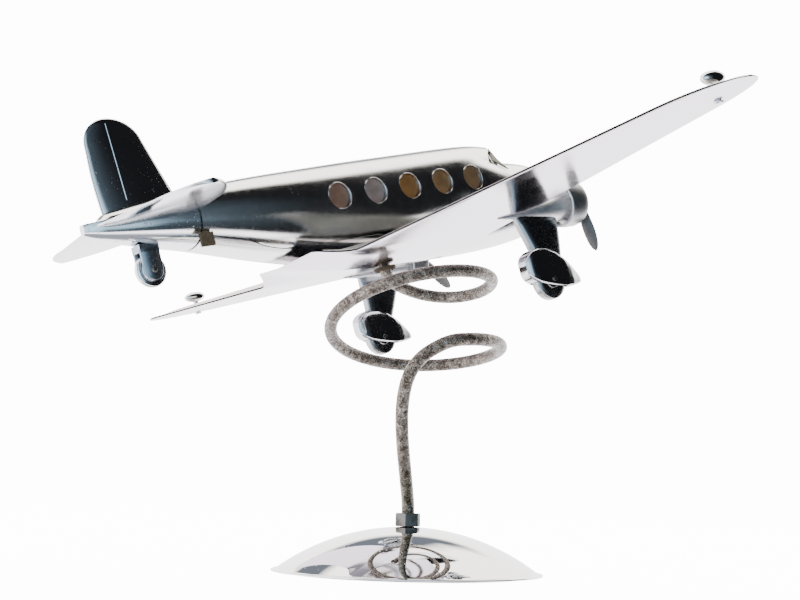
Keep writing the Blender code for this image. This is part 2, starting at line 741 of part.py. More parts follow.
def build_tailplane(airframe):
    places = stations_between(0.0, 34.0, 4) + [40.0, 45.0, 49.5, 52.8, 54.5, STAB_HALF_SPAN]
    signed = [-y for y in places[:0:-1]] + places
    rings = []
    for y in signed:
        rear, front = stab_edges(abs(y))
        thick = STAB_THICKNESS * (1 - 0.45 * abs(y) / STAB_HALF_SPAN)
        low, high = [], []
        for share in CHORD_SHARES:
            x = rear + (front - rear) * share
            half = thick / 2 * max(0.25, wing_camber(share))
            low.append((x, y, STAB_Z - half))
            high.append((x, y, STAB_Z + half))
        rings.append(low + high[::-1])
    tail = loft("tailplane", rings, "pitted_chrome", airframe)
    cone = [lower_ring(x, min(TAIL_SPLIT_Z - GAP, station(x)[2] - 0.15))
            for x in [-123.8, -122.4, -120.0] + stations_between(SHELL_REAR_X, TAIL_JOINT_X - GAP, 8)]
    combine(tail, loft("join_tail_cone", cone, None, airframe), "UNION")
    above = [upper_ring(x, TAIL_SPLIT_Z - GAP - 0.01, inset=-GAP) for x in shell_stations()
             if x < TAIL_JOINT_X]
    above.insert(0, [(SHELL_REAR_X - GAP, y, z) for x, y, z in above[0]])
    combine(tail, loft("cut_tail_shell", above, None, airframe), "DIFFERENCE")
    ahead = box_solid("cut_tail_ahead", (TAIL_JOINT_X - GAP + 0.02, -13.6, 8), (-70, 13.6, 40),
                      None, airframe)
    combine(tail, ahead, "DIFFERENCE")
    half = skin_half_width(TAIL_JOINT_X + 3.0, 18.4)
    box_solid("tail_clip", (TAIL_JOINT_X - 2.2, -half - 2.0, 13.6), (TAIL_JOINT_X + 3.0, -half - 0.6, 18.4),
              "brown_steel", airframe)


def build_leg(airframe, side, sign, wing_clear):
    leg_rings = []
    for z, rear, front, half, y in (
            (6.0, 24.0, 48.6, 3.1, 48.9), (2.4, 25.4, 47.4, 2.9, 49.1), (-1.0, 26.4, 46.4, 2.7, 49.4),
            (-6.0, 27.4, 45.4, 2.6, 49.9), (-11.0, 28.5, 43.8, 2.6, 50.5), (-16.0, 29.4, 42.0, 2.6, 51.0)):
        middle, reach = (rear + front) / 2, (front - rear) / 2
        bend = ((6.0 - z) / 22.0) ** 1.5
        y += bend * (SPAT_Y[sign] - 51.0)
        leg_rings.append([(middle + reach * cos(a), sign * (y + half * sin(a)), z - bend * GEAR_DROP[sign])
                          for a in (2 * pi * k / 16 for k in range(16))])
    leg = loft(f"engine_leg_{side}", leg_rings, "pitted_chrome", airframe)
    cone_rings = []
    for x in stations_between(NACELLE_TAIL_X, NACELLE_FRONT_X, 10):
        share = (x - NACELLE_TAIL_X) / (NACELLE_FRONT_X - NACELLE_TAIL_X)
        radius = 0.25 + (NACELLE_RADIUS - 0.25) * share ** 0.9
        z = 2.5 + (ENGINE_Z - 2.5) * share
        cone_rings.append([(x, sign * (ENGINE_Y + radius * cos(a)), z + radius * sin(a))
                           for a in (2 * pi * k / 16 for k in range(16))])
    combine(leg, loft(f"join_nacelle_{side}", cone_rings, None, airframe), "UNION")
    spat_rings = []
    for x, high, low, half in (
            (21.8, -15.6, -19.4, 1.9), (23.0, -13.6, -21.6, 3.0), (25.5, -11.9, -23.4, 3.6),
            (29.0, -11.0, -24.8, 3.9), (33.5, -11.2, -26.0, 3.9), (38.0, -13.2, -27.0, 3.7),
            (42.5, -16.4, -27.4, 3.1), (46.8, -20.4, -27.2, 2.1), (50.6, -24.4, -26.4, 0.7)):
        middle, rise = (high + low) / 2 - GEAR_DROP[sign], (high - low) / 2
        ring = []
        for k in range(20):
            a = 2 * pi * (k + 0.5) / 20
            c, s = cos(a), sin(a)
            ring.append((x, sign * (SPAT_Y[sign] + half * abs(c) ** 0.5 * (1 if c > 0 else -1)),
                         middle + rise * abs(s) ** 0.5 * (1 if s > 0 else -1)))
        spat_rings.append(ring)
    combine(leg, loft(f"join_spat_{side}", spat_rings, None, airframe), "UNION")
    combine(leg, wing_clear, "DIFFERENCE")
    room = WHEEL_HALF_WIDTH + GAP
    middle, wheel_z = sign * SPAT_Y[sign], WHEEL_Z - GEAR_DROP[sign]
    y0, y1 = middle - room, middle + room
    well = rod_solid(f"cut_wheel_{side}", (WHEEL_X, y0, wheel_z), (WHEEL_X, y1, wheel_z),
                     WHEEL_RADIUS + 0.7, None, airframe, sides=24)
    combine(leg, well, "DIFFERENCE")
    axle_hole = rod_solid(f"cut_axle_{side}", (WHEEL_X, y0 - 6, wheel_z), (WHEEL_X, y1 + 6, wheel_z),
                          AXLE_RADIUS + 0.2, None, airframe)
    combine(leg, axle_hole, "DIFFERENCE")
    pin_hole = rod_solid(f"cut_pin_{side}", (NACELLE_FRONT_X - 6, sign * ENGINE_Y, ENGINE_Z),
                         (NACELLE_FRONT_X + 6, sign * ENGINE_Y, ENGINE_Z), PIN_RADIUS + 0.2, None, airframe)
    combine(leg, pin_hole, "DIFFERENCE")


def build_wheel(airframe, side, sign):
    hub, rim = AXLE_RADIUS + 0.2, WHEEL_RADIUS
    half = WHEEL_HALF_WIDTH
    profile = [(-half, hub), (-half, rim - 2.0), (-half + 0.3, rim - 0.7), (-half + 1.0, rim),
               (half - 1.0, rim), (half - 0.3, rim - 0.7), (half, rim - 2.0), (half, hub)]
    pivot = bpy.data.objects.new(f"wheel_pivot_{side}", None)
    pivot.location = (WHEEL_X * MM, sign * SPAT_Y[sign] * MM, (WHEEL_Z - GEAR_DROP[sign]) * MM)
    pivot.parent = airframe
    bpy.context.scene.collection.objects.link(pivot)
    turned(f"main_wheel_{side}", profile, "pitted_chrome", pivot, sides=28, axis="Y")
    reach = SPAT_HALF_WIDTH + 0.3
    rod_solid(f"wheel_axle_{side}", (0, -reach, 0), (0, reach, 0), AXLE_RADIUS, "dark_steel", pivot, 12)


def build_cowl(airframe, side, sign):
    outer = [(COWL_REAR_X, COWL_RADIUS - 0.35), (COWL_REAR_X + 3.2, COWL_RADIUS),
             (COWL_FRONT_X - 3.0, COWL_RADIUS), (COWL_FRONT_X - 0.6, COWL_RADIUS - 0.5),
             (COWL_FRONT_X, COWL_RADIUS - 1.3)]
    inner = [(x, r - COWL_WALL) for x, r in outer[:-1]]
    centre = (0, sign * ENGINE_Y, ENGINE_Z)
    turned(f"cowl_ring_{side}", outer + inner[::-1], "pitted_chrome", airframe, 28, "X", centre)
    count, points = 9, []
    outer_radius = COWL_RADIUS - COWL_WALL - GAP
    sides = count * 4
    radii = [outer_radius if k % 4 in (0, 1) else outer_radius - 2.4 for k in range(sides)]
    bore = PIN_RADIUS + 0.2
    x0, x1 = NACELLE_FRONT_X + GAP, NACELLE_FRONT_X + GAP + 3.0
    loops = [(x0, None), (x1, None), (x1, bore), (x0, bore)]
    for x, radius in loops:
        for k in range(sides):
            a = 2 * pi * k / sides
            r = radius or radii[k]
            points.append((x, centre[1] + r * cos(a), centre[2] + r * sin(a)))
    faces = grid_faces(4, sides, wrap=True)
    faces += [(3 * sides + c, 3 * sides + (c + 1) % sides, (c + 1) % sides, c) for c in range(sides)]
    new_object(f"engine_disc_{side}", points, faces, "cast_iron", airframe)


BLADE = ((2.2, 1.7), (5.0, 1.9), (9.0, 2.3), (13.0, 2.4), (16.5, 2.1), (19.0, 1.4), (20.4, 0.5))


def build_propeller(airframe, side, sign, turn):
    """Two blades and a hub in the plane of the joint; blades lie along the pivot's own Z."""
    pivot = bpy.data.objects.new(f"propeller_pivot_{side}", None)
    pivot.location = (PROP_X * MM, sign * ENGINE_Y * MM, ENGINE_Z * MM)
    pivot.parent = airframe
    pivot.rotation_euler = (radians(turn), 0, 0)
    bpy.context.scene.collection.objects.link(pivot)
    bore = PIN_RADIUS + 0.2
    hub = [(-1.3, bore), (-1.3, PROP_HUB_RADIUS), (1.0, PROP_HUB_RADIUS), (1.4, PROP_HUB_RADIUS - 0.5),
           (1.4, bore)]
    prop = turned(f"propeller_{side}", hub, "pitted_chrome", pivot, sides=24, axis="X")
    for end in (1, -1):
        rings = []
        for radius, half in BLADE:
            twist = radians(38 - 22 * radius / PROP_RADIUS) * end
            thick = 0.55 - 0.25 * radius / PROP_RADIUS
            ring = []
            for a in (2 * pi * k / 10 for k in range(10)):
                across, deep = half * cos(a), thick * sin(a)
                ring.append((across * sin(twist) + deep * cos(twist),
                             across * cos(twist) - deep * sin(twist), end * radius))
            rings.append(ring)
        combine(prop, loft(f"join_blade_{side}_{'down' if end < 0 else 'up'}", rings, None, pivot), "UNION")
    head = 1.4 + 0.25
    pin = [(-9.6, 0.0), (-9.6, PIN_RADIUS), (head, PIN_RADIUS), (head, 2.0), (head + 0.8, 1.8),
           (head + 1.4, 1.1), (head + 1.6, 0.0)]
    turned(f"propeller_pin_{side}", pin, "pitted_chrome", airframe, 16, "X",
           (PROP_X, sign * ENGINE_Y, ENGINE_Z))


def build_tail_wheel(airframe):
    wheel_z, wheel_x = TAIL_WHEEL_Z, TAIL_WHEEL_X
    inner, outer = FORK_INNER_Y, FORK_INNER_Y + FORK_WALL
    top = 17.4
    profile = [(-outer, top), (-outer, wheel_z), (-inner, wheel_z), (-inner, top - FORK_WALL),
               (inner, top - FORK_WALL), (inner, wheel_z), (outer, wheel_z), (outer, top)]
    rings = [[(x, y, z) for y, z in profile]
             for x in (wheel_x - FORK_HALF_LENGTH, wheel_x + FORK_HALF_LENGTH)]
    fork = loft("tail_fork", rings, "pitted_chrome", airframe)
    for side, sign in (("left", 1), ("right", -1)):
        ear = rod_solid(f"join_ear_{side}", (wheel_x, sign * inner, wheel_z),
                        (wheel_x, sign * outer, wheel_z), FORK_HALF_LENGTH, None, airframe, sides=24)
        combine(fork, ear, "UNION")
    hole = rod_solid("cut_tail_axle", (wheel_x, -6, wheel_z), (wheel_x, 6, wheel_z),
                     AXLE_RADIUS + 0.2, None, airframe)
    combine(fork, hole, "DIFFERENCE")
    pivot = bpy.data.objects.new("tail_wheel_pivot", None)
    pivot.location = (wheel_x * MM, 0, wheel_z * MM)
    pivot.parent = airframe
    bpy.context.scene.collection.objects.link(pivot)
    half, rim, bore = TAIL_WHEEL_HALF_WIDTH, TAIL_WHEEL_RADIUS, AXLE_RADIUS + 0.2
    tyre = [(-half, bore), (-half, rim - 1.0), (-half + 0.8, rim), (half - 0.8, rim),
            (half, rim - 1.0), (half, bore)]
    turned("tail_wheel", tyre, "chrome", pivot, sides=28, axis="Y")
    head = outer + 0.25
    rivet = [(-head - 0.5, 0.0), (-head - 0.5, 1.2), (-head, 1.5), (-head, AXLE_RADIUS),
             (head, AXLE_RADIUS), (head, 1.5), (head + 0.5, 1.2), (head + 0.5, 0.0)]
    turned("tail_axle", rivet, "dark_steel", pivot, sides=16, axis="Y")


def build_rod_fixing(airframe):
    bore = ROD_RADIUS + 2 * GAP
    collar = [(-3.6, bore), (-3.6, 3.8), (-3.2, 4.2), (-2.0, 4.4), (-2.0, bore)]
    turned("belly_collar", collar, "brown_steel", airframe, sides=24, axis="Z")
    build_nut("anchor_nut", 1.9, airframe)


def build_aircraft():
    airframe = build_airframe_empty()
    shell = build_fuselage(airframe)
    build_windows(airframe, shell)
    build_windscreen(airframe)
    build_wing(airframe)
    build_fin(airframe)
    build_tailplane(airframe)
    build_tail_wheel(airframe)
    build_rod_fixing(airframe)
    for side, sign, turn in (("left", 1, -41.0), ("right", -1, -7.0)):
        clear = [
            [(x, sign * 30, wing_z(30, 1) - GAP), (x, sign * 70, wing_z(70, 1) - GAP),
             (x, sign * 70, 30), (x, sign * 30, 30)]
            for x in (-20, LEADING[0] + LEADING[1] * ENGINE_Y + 0.5)
        ]
        build_leg(airframe, side, sign, loft(f"cut_wing_{side}", clear, None, airframe))
        build_wheel(airframe, side, sign)
        build_cowl(airframe, side, sign)
        build_propeller(airframe, side, sign, turn)


clear_scene()
build_stand()
build_aircraft()
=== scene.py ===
"""Looks of the desktop airliner model: smooth metal skins, a pitted rod, floor, light and camera."""

import bmesh
import bpy
import numpy as np
from math import cos, pi, radians, sin
from mathutils import Euler, Matrix, Vector


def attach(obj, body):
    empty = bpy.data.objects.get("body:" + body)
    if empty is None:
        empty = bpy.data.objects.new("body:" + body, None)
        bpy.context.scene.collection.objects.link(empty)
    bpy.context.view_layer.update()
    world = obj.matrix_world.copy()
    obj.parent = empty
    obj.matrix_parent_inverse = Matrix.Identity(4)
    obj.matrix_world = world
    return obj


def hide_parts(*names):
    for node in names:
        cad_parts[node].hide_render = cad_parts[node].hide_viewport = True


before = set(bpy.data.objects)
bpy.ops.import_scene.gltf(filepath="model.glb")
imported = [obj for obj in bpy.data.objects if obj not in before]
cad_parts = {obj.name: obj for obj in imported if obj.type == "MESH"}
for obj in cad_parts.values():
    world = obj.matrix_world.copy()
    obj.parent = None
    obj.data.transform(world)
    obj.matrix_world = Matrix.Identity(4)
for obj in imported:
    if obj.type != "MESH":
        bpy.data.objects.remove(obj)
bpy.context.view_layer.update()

MM = 0.001
ROOT = "airliner_on_stand"

# ---------------- sizes, in millimetres

BASE_RADIUS = 49.5
DOME_HEIGHT = 17.2
RIM_WIDTH = 1.4
RIM_BOTTOM = 0.6
DOME_LIFT = 0.6
DOME_THICKNESS = 1.2
ROD_RADIUS = 2.35
BORE = ROD_RADIUS + 0.3

COIL_CENTRE = Vector((0.2, -2.9, 80.0))
COIL_AXIS = Vector((0.2565, -0.0493, 0.9653)).normalized()
COIL_START_SIDE = Vector((-0.6093, -0.7731, 0.1225))
COIL_RADIUS = 31.35
COIL_PITCH = 26.4
COIL_FROM = -92.0
COIL_TO = 424.0

BELLY_POINT = Vector((22.5, -3.3, 117.8))
TURN = Euler((radians(-7.51), radians(-13.76), radians(-90.0)), "XYZ")
AIRFRAME = Matrix.Translation(BELLY_POINT * MM) @ TURN.to_matrix().to_4x4()

# Fuselage: x, then half width, height of the underside and height of the top
STATIONS = (
    (-124.0, 1.4, 24.8, 28.4), (-121.5, 3.0, 23.6, 30.0), (-116.0, 5.0, 21.9, 31.3),
    (-105.6, 7.9, 19.4, 33.0), (-85.0, 12.2, 15.2, 35.8), (-60.0, 16.0, 9.1, 38.0),
    (-36.0, 18.3, 4.0, 39.2), (-13.0, 19.2, 0.4, 40.2), (12.0, 19.4, -1.3, 41.0),
    (46.0, 18.6, -1.6, 41.9), (64.0, 16.8, -0.6, 41.2), (78.0, 14.0, 1.4, 38.0),
    (90.0, 10.8, 4.6, 32.0), (100.0, 7.0, 8.6, 25.6), (106.0, 3.4, 12.2, 20.4),
    (108.0, 1.2, 14.6, 17.6),
)
SECTION_POWER = 2.35
HOOD = ((66.0, 35.6), (72.7, 33.6), (80.0, 32.6), (88.0, 30.6), (96.0, 27.0))
SCREEN_TOP = (68.6, 41.0)
SCREEN_FOOT = (73.0, 33.6)
SCREEN_SWEEP = 13.5
TAIL_JOINT_X = -84.5
TAIL_SPLIT_Z = 28.6
SHELL_REAR_X = -117.5
TAIL_ROUND_X = -113.5
BELLY_FRONT_X = 104.0
SEAM_RISE = 3.4
WING_SEAM_Z = 8.6

WING_SPAN_HALF = 179.5
TIP_START = 154.0
WING_TOP_INNER_Y = 20.6
TRAILING = (-42.1, 0.192)
LEADING = (36.8, -0.098)
LOWER_Z = (-1.3, 0.082)
FILLET_START = 32.0
FILLET_END = 18.0

WINDOW_PITCH = 17.0
WINDOW_MIDDLE_X = 6.5
WINDOW_Z = 24.9
WINDOW_HOLE_RADIUS = 5.2
WINDOW_DISC_RADIUS = 4.85

ENGINE_Y = 49.0
ENGINE_Z = 4.6
NACELLE_TAIL_X = 17.6
NACELLE_FRONT_X = 53.4
COWL_REAR_X = 50.5
COWL_FRONT_X = 60.0
COWL_RADIUS = 9.0
PROP_X = 63.0
# 1 is the port side and -1 the starboard side; the port gear is splayed and a little longer
SPAT_Y = {1: 54.4, -1: 51.0}
GEAR_DROP = {1: 1.3, -1: 0.0}
WHEEL_X = 33.4
WHEEL_Z = -23.6
WHEEL_RADIUS = 7.3
WHEEL_HALF_WIDTH = 2.4
TAIL_WHEEL_X = -101.7
TAIL_WHEEL_Z = 9.8
FIN_TOP_Z = 64.6
FIN_ROUND_FROM = 0.72
STAB_HALF_SPAN = 55.0
STAB_ROUND_FROM = 34.0
STAB_Z = 26.8
# Leg: depth below the airframe's zero height, then rear x, front x, half thickness and y
LEG_FORM = (
    (-2.35, 25.6, 48.4, 1.8, 49.1), (-1.2, 25.8, 47.6, 2.0, 49.2), (1.0, 26.2, 46.6, 2.5, 49.4),
    (6.0, 27.4, 45.4, 2.6, 49.9), (11.0, 28.5, 43.8, 2.6, 50.5), (16.0, 29.4, 42.0, 2.6, 51.0),
)
# Spat: x, then the height of its top, the height of its underside and its half width
SPAT_FORM = (
    (21.8, -15.8, -19.2, 1.6), (22.5, -14.1, -21.0, 2.7), (24.0, -12.7, -22.6, 3.4),
    (26.5, -11.5, -24.0, 3.75), (29.5, -11.0, -25.0, 3.9), (33.5, -11.3, -26.0, 3.9),
    (38.0, -13.3, -26.9, 3.7), (41.5, -15.8, -27.2, 3.4), (44.5, -18.2, -27.3, 2.6),
    (47.4, -21.0, -27.0, 1.6), (49.5, -23.3, -26.6, 0.9), (50.6, -24.7, -26.1, 0.4),
)
# Propeller blade: radius, then half width
BLADE_FORM = (
    (1.6, 1.5), (3.5, 1.75), (6.0, 2.0), (9.0, 2.25), (12.0, 2.38), (14.5, 2.3), (16.8, 2.0),
    (18.6, 1.5), (19.7, 0.9), (20.35, 0.25),
)
PROPELLER_TURN = {1: -41.0, -1: -7.0}
LAMP = (14.0, 160.0, 19.2)
LAMP_RADII = (5.5, 2.5, 2.4)
SIDES = (("left", 1), ("right", -1))


# ---------------- materials

def feed(socket, value):
    """Links a socket to another one, or sets it to a number or a colour."""
    if isinstance(value, bpy.types.NodeSocket):
        socket.id_data.links.new(value, socket)
    else:
        socket.default_value = (*value, 1) if isinstance(value, tuple) else value


def node(tree, kind, **settings):
    made = tree.nodes.new(kind)
    for name, value in settings.items():
        if name in made.inputs:
            made.inputs[name].default_value = value
        else:
            setattr(made, name, value)
    return made


def new_material(name):
    """A new material, its node tree and its Principled shader."""
    material = bpy.data.materials.new(name)
    material.use_nodes = True
    return material, material.node_tree, material.node_tree.nodes["Principled BSDF"]


def add_bump(shader, height, strength, distance):
    bump = node(shader.id_data, "ShaderNodeBump", Strength=strength, Distance=distance)
    feed(bump.inputs["Height"], height)
    feed(shader.inputs["Normal"], bump.outputs["Normal"])


def ramp(source, stops):
    """A colour ramp fed by source; each stop is (position, grey or colour)."""
    made = source.id_data.nodes.new("ShaderNodeValToRGB")
    elements = made.color_ramp.elements
    while len(elements) > 1:
        elements.remove(elements[-1])
    for index, (position, value) in enumerate(stops):
        element = elements[0] if index == 0 else elements.new(position)
        element.position = position
        element.color = (*value, 1) if isinstance(value, tuple) else (value, value, value, 1)
    feed(made.inputs["Fac"], source)
    return made.outputs["Color"]


def mix_colour(factor, a, b):
    """Colour a where factor is 0 and colour b where it is 1."""
    made = node(factor.id_data, "ShaderNodeMix", data_type="RGBA")
    for index, value in ((0, factor), (6, a), (7, b)):
        feed(made.inputs[index], value)
    return made.outputs[2]


def calc(operation, a, b, clamp=False):
    made = node(a.id_data, "ShaderNodeMath", operation=operation, use_clamp=clamp)
    feed(made.inputs[0], a)
    feed(made.inputs[1], b)
    return made.outputs[0]


def times(a, b, clamp=False):
    return calc("MULTIPLY", a, b, clamp)


def plus(a, b, clamp=False):
    return calc("ADD", a, b, clamp)


def stretched(tree, scale=(1, 1, 1)):
    """Coordinates along the aircraft's own axes, with a scale for each axis."""
    place = tree.nodes.new("ShaderNodeTexCoord")
    turned = node(tree, "ShaderNodeMapping", vector_type="TEXTURE", Rotation=TURN)
    feed(turned.inputs["Vector"], place.outputs["Object"])
    mapping = node(tree, "ShaderNodeMapping", Scale=scale)
    feed(mapping.inputs["Vector"], turned.outputs["Vector"])
    return mapping.outputs["Vector"]


def noise(vector, scale, detail=3.0, rough=0.55):
    made = node(vector.id_data, "ShaderNodeTexNoise", Scale=scale, Detail=detail, Roughness=rough)
    feed(made.inputs["Vector"], vector)
    return made.outputs["Fac"]


def cells(vector, scale):
    made = node(vector.id_data, "ShaderNodeTexVoronoi", Scale=scale)
    feed(made.inputs["Vector"], vector)
    return made.outputs["Distance"]


def scaled(colour, factor):
    return tuple(min(1.0, c * factor) for c in colour)


def metal(name, colour, roughness, pits=0.3, haze=0.12, brush=None, brush_depth=0.0,
          stain=None, stain_amount=0.0, wave=0.0):
    """Plated metal: haze in the polish, pits through the plating, brushing lines and stains."""
    material, tree, shader = new_material(name)
    shader.inputs["Metallic"].default_value = 1.0
    plain = stretched(tree)
    cloudy = noise(plain, 38.0, 5.0)
    fine = noise(plain, 420.0, 4.0, 0.65)
    patch = ramp(noise(plain, 55.0, 3.0), ((0.62 - 0.25 * pits, 0.0), (0.86 - 0.25 * pits, 1.0)))
    pit = times(ramp(cells(plain, 620.0), ((0.10, 1.0), (0.22, 0.0))), patch)
    pit = times(pit, min(1.0, 0.35 + pits), True)

    shade = mix_colour(ramp(fine, ((0.3, 0.0), (0.75, 1.0))), scaled(colour, 0.93), colour)
    shade = mix_colour(pit, shade, scaled(colour, 0.32))
    gloss = ramp(cloudy, ((0.35, roughness), (0.75, roughness + haze)))
    gloss = plus(gloss, times(pit, 0.35), True)
    if stain:
        where = ramp(noise(plain, 130.0, 6.0, 0.7),
                     ((0.66 - 0.3 * stain_amount, 0.0), (0.84 - 0.3 * stain_amount, 1.0)))
        shade = mix_colour(times(where, min(1.0, stain_amount + 0.2)), shade, stain)
        gloss = plus(gloss, times(where, 0.45 * stain_amount), True)
    height = times(pit, -1.0)
    if wave:
        height = plus(height, times(noise(plain, 24.0, 1.0), wave))
    if brush:
        lines = noise(stretched(tree, brush), 1.0, 3.0, 0.6)
        height = plus(height, times(lines, brush_depth))
        gloss = plus(gloss, times(lines, 0.14), True)
    feed(shader.inputs["Base Color"], shade)
    feed(shader.inputs["Roughness"], gloss)
    add_bump(shader, height, 0.5, 0.00006)
    return material


def rusty_rod():
    """Plated steel rod: brown rust through worn plate, with bright plate left between."""
    material, tree, shader = new_material("rod_steel")
    plain = stretched(tree)
    coarse = noise(plain, 420.0, 6.0, 0.7)
    fine = noise(plain, 1500.0, 5.0, 0.75)
    parts = tree.nodes.new("ShaderNodeSeparateXYZ")
    feed(parts.inputs[0], plain)
    olive = ramp(times(parts.outputs[2], 10.0), ((0.20, 1.0), (0.42, 0.0)))
    worn = ramp(plus(times(coarse, 0.45), times(fine, 0.55)), ((0.42, 0.0), (0.56, 1.0)))
    rust = mix_colour(fine, (0.012, 0.008, 0.005), (0.07, 0.045, 0.027))
    rust = mix_colour(olive, rust, (0.055, 0.045, 0.016))
    shade = mix_colour(worn, (0.30, 0.27, 0.235), rust)
    specks = ramp(cells(plain, 1500.0), ((0.14, 1.0), (0.34, 0.0)))
    shade = mix_colour(times(specks, 0.8), shade, (0.012, 0.008, 0.005))
    feed(shader.inputs["Base Color"], shade)
    feed(shader.inputs["Metallic"], ramp(worn, ((0.0, 0.96), (1.0, 0.7))))
    feed(shader.inputs["Roughness"], ramp(worn, ((0.0, 0.14), (1.0, 0.4))))
    height = plus(plus(times(worn, 0.5), times(specks, -0.7)), times(fine, 0.5))
    add_bump(shader, height, 0.8, 0.00018)
    return material


def foil(name, colour):
    """Coloured foil disc behind a window: fine streaks and a soft sheen."""
    material, tree, shader = new_material(name)
    shader.inputs["Metallic"].default_value = 0.35
    streaks = noise(stretched(tree, (260, 260, 2400)), 1.0, 4.0, 0.7)
    clouds = noise(stretched(tree), 190.0, 4.0, 0.6)
    shade = mix_colour(ramp(clouds, ((0.3, 0.0), (0.7, 1.0))), scaled(colour, 0.72), scaled(colour, 1.18))
    shade = mix_colour(times(streaks, 0.35), shade, scaled(colour, 0.5))
    feed(shader.inputs["Base Color"], shade)
    feed(shader.inputs["Roughness"], ramp(clouds, ((0.2, 0.38), (0.8, 0.6))))
    add_bump(shader, streaks, 0.35, 0.00005)
    return material


def matt(name, colour, scale, depth):
    """Dull rough stuff such as felt, sand-cast iron or a corroded clip."""
    material, tree, shader = new_material(name)
    grain = noise(stretched(tree), scale, 6.0, 0.7)
    shade = mix_colour(ramp(grain, ((0.3, 0.0), (0.7, 1.0))), scaled(colour, 0.45), scaled(colour, 1.4))
    feed(shader.inputs["Base Color"], shade)
    feed(shader.inputs["Roughness"], ramp(grain, ((0.2, 0.62), (0.8, 0.95))))
    add_bump(shader, grain, 0.7, depth)
    return material


CHROME = metal("chrome_polish", (0.83, 0.835, 0.84), 0.03, pits=0.12, haze=0.05, wave=0.12)
BODY = metal("chrome_body", (0.82, 0.82, 0.82), 0.05, pits=0.35, haze=0.08,
             brush=(5200, 60, 60), brush_depth=0.55, wave=0.2)
# Painted reflection: the lavender tint in this chrome colour stands in for the pale floor that the wing's
# underside mirrors.
WING = metal("chrome_wing", (0.71, 0.665, 0.705), 0.045, pits=0.2, haze=0.07,
             brush=(120, 2600, 120), brush_depth=0.05, wave=0.25)
# Painted light: the wing's upper skins are the same polished chrome as the underside; their lighter,
# creamier colour stands in for light falling from above, and their rougher polish spreads that light in the
# fuselage's mirror.
WING_TOP = metal("wing_top_painted_light", (0.84, 0.82, 0.79), 0.26, pits=0.2, haze=0.1,
                 brush=(120, 2600, 120), brush_depth=0.1)
PITTED = metal("chrome_pitted", (0.76, 0.78, 0.80), 0.07, pits=0.95, haze=0.14, wave=0.35,
               stain=(0.42, 0.33, 0.22), stain_amount=0.22)
CAST = metal("plated_casting", (0.70, 0.72, 0.75), 0.13, pits=0.55, haze=0.16, wave=0.3)
CONE = metal("cone_plate", (0.88, 0.88, 0.90), 0.34, pits=0.3, haze=0.1,
             brush=(60, 2600, 2600), brush_depth=0.3)
LEG = metal("leg_steel", (0.34, 0.36, 0.38), 0.12, pits=0.4, haze=0.12,
            brush=(300, 300, 3800), brush_depth=0.4)
CHEEK = metal("spat_chrome", (0.62, 0.63, 0.65), 0.09, pits=0.6, haze=0.08, wave=0.2)
BRUSHED = metal("brushed_steel", (0.36, 0.42, 0.47), 0.2, pits=0.35, haze=0.12,
                brush=(400, 400, 6000), brush_depth=0.5)
COWL = metal("cowl_steel", (0.46, 0.47, 0.48), 0.27, pits=0.4, haze=0.12,
             brush=(4200, 160, 160), brush_depth=0.5)
# Painted reflection: the blades' dark grey colour stands in for the dark surroundings that they mirror,
# which the pale room there doesn't give.
BLADE_STEEL = metal("blade_steel_painted_dark", (0.14, 0.138, 0.135), 0.3, pits=0.5, haze=0.14,
                    brush=(3000, 300, 300), brush_depth=0.5)
NUT_STEEL = metal("nut_steel", (0.13, 0.128, 0.12), 0.34, pits=1.0, haze=0.25,
                  stain=(0.03, 0.026, 0.02), stain_amount=0.6)
TYRE_METAL = metal("wheel_plate", (0.42, 0.43, 0.42), 0.14, pits=0.9, haze=0.2,
                   stain=(0.14, 0.11, 0.07), stain_amount=0.45)
BASE = metal("base_chrome", (0.80, 0.80, 0.79), 0.02, pits=0.45, haze=0.035, wave=0.04,
             stain=(0.62, 0.60, 0.54), stain_amount=0.12)
ROD = rusty_rod()
IRON = matt("cast_iron_rough", (0.07, 0.07, 0.07), 700.0, 0.0002)
FELT = matt("green_felt", (0.05, 0.12, 0.07), 2600.0, 0.0003)
CLIP = matt("brown_clip", (0.075, 0.055, 0.03), 1300.0, 0.0005)
FOILS = (
    foil("foil_copper", (0.20, 0.125, 0.095)), foil("foil_mauve", (0.23, 0.19, 0.19)),
    foil("foil_amber", (0.22, 0.115, 0.035)), foil("foil_gold", (0.21, 0.125, 0.055)),
    foil("foil_brown", (0.17, 0.105, 0.052)),
)
PANE = foil("foil_pane", (0.17, 0.15, 0.11))


# ---------------- mesh tools

def build(name, points, faces, material, body=ROOT, place=AIRFRAME, sharp=40, slot=None, instead=()):
    """A smooth mesh piece from points in millimetres. One with no material is a cutter."""
    mesh = bpy.data.meshes.new(name)
    mesh.from_pydata([tuple(place @ (Vector(p) * MM)) for p in points], [], faces)
    work = bmesh.new()
    work.from_mesh(mesh)
    bmesh.ops.remove_doubles(work, verts=work.verts, dist=2e-7)
    bmesh.ops.recalc_face_normals(work, faces=work.faces)
    work.to_mesh(mesh)
    work.free()
    mesh.shade_smooth()
    mesh.set_sharp_from_angle(angle=radians(sharp))
    obj = bpy.data.objects.new(name, mesh)
    bpy.context.scene.collection.objects.link(obj)
    if material:
        mesh.materials.append(material)
        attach(obj, body)
        if instead:
            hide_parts(*instead)
    return obj


def cut(target, cutter):
    """Takes the cutter away from the target and removes it."""
    modifier = target.modifiers.new("cut", "BOOLEAN")
    modifier.operation = "DIFFERENCE"
    modifier.object = cutter
    bpy.context.view_layer.update()
    graph = bpy.context.evaluated_depsgraph_get()
    mesh = bpy.data.meshes.new_from_object(target.evaluated_get(graph))
    target.modifiers.clear()
    old = target.data
    target.data = mesh
    mesh.name = target.name
    bpy.data.meshes.remove(old)
    bpy.data.objects.remove(cutter)
    mesh.shade_smooth()
    mesh.set_sharp_from_angle(angle=radians(35))


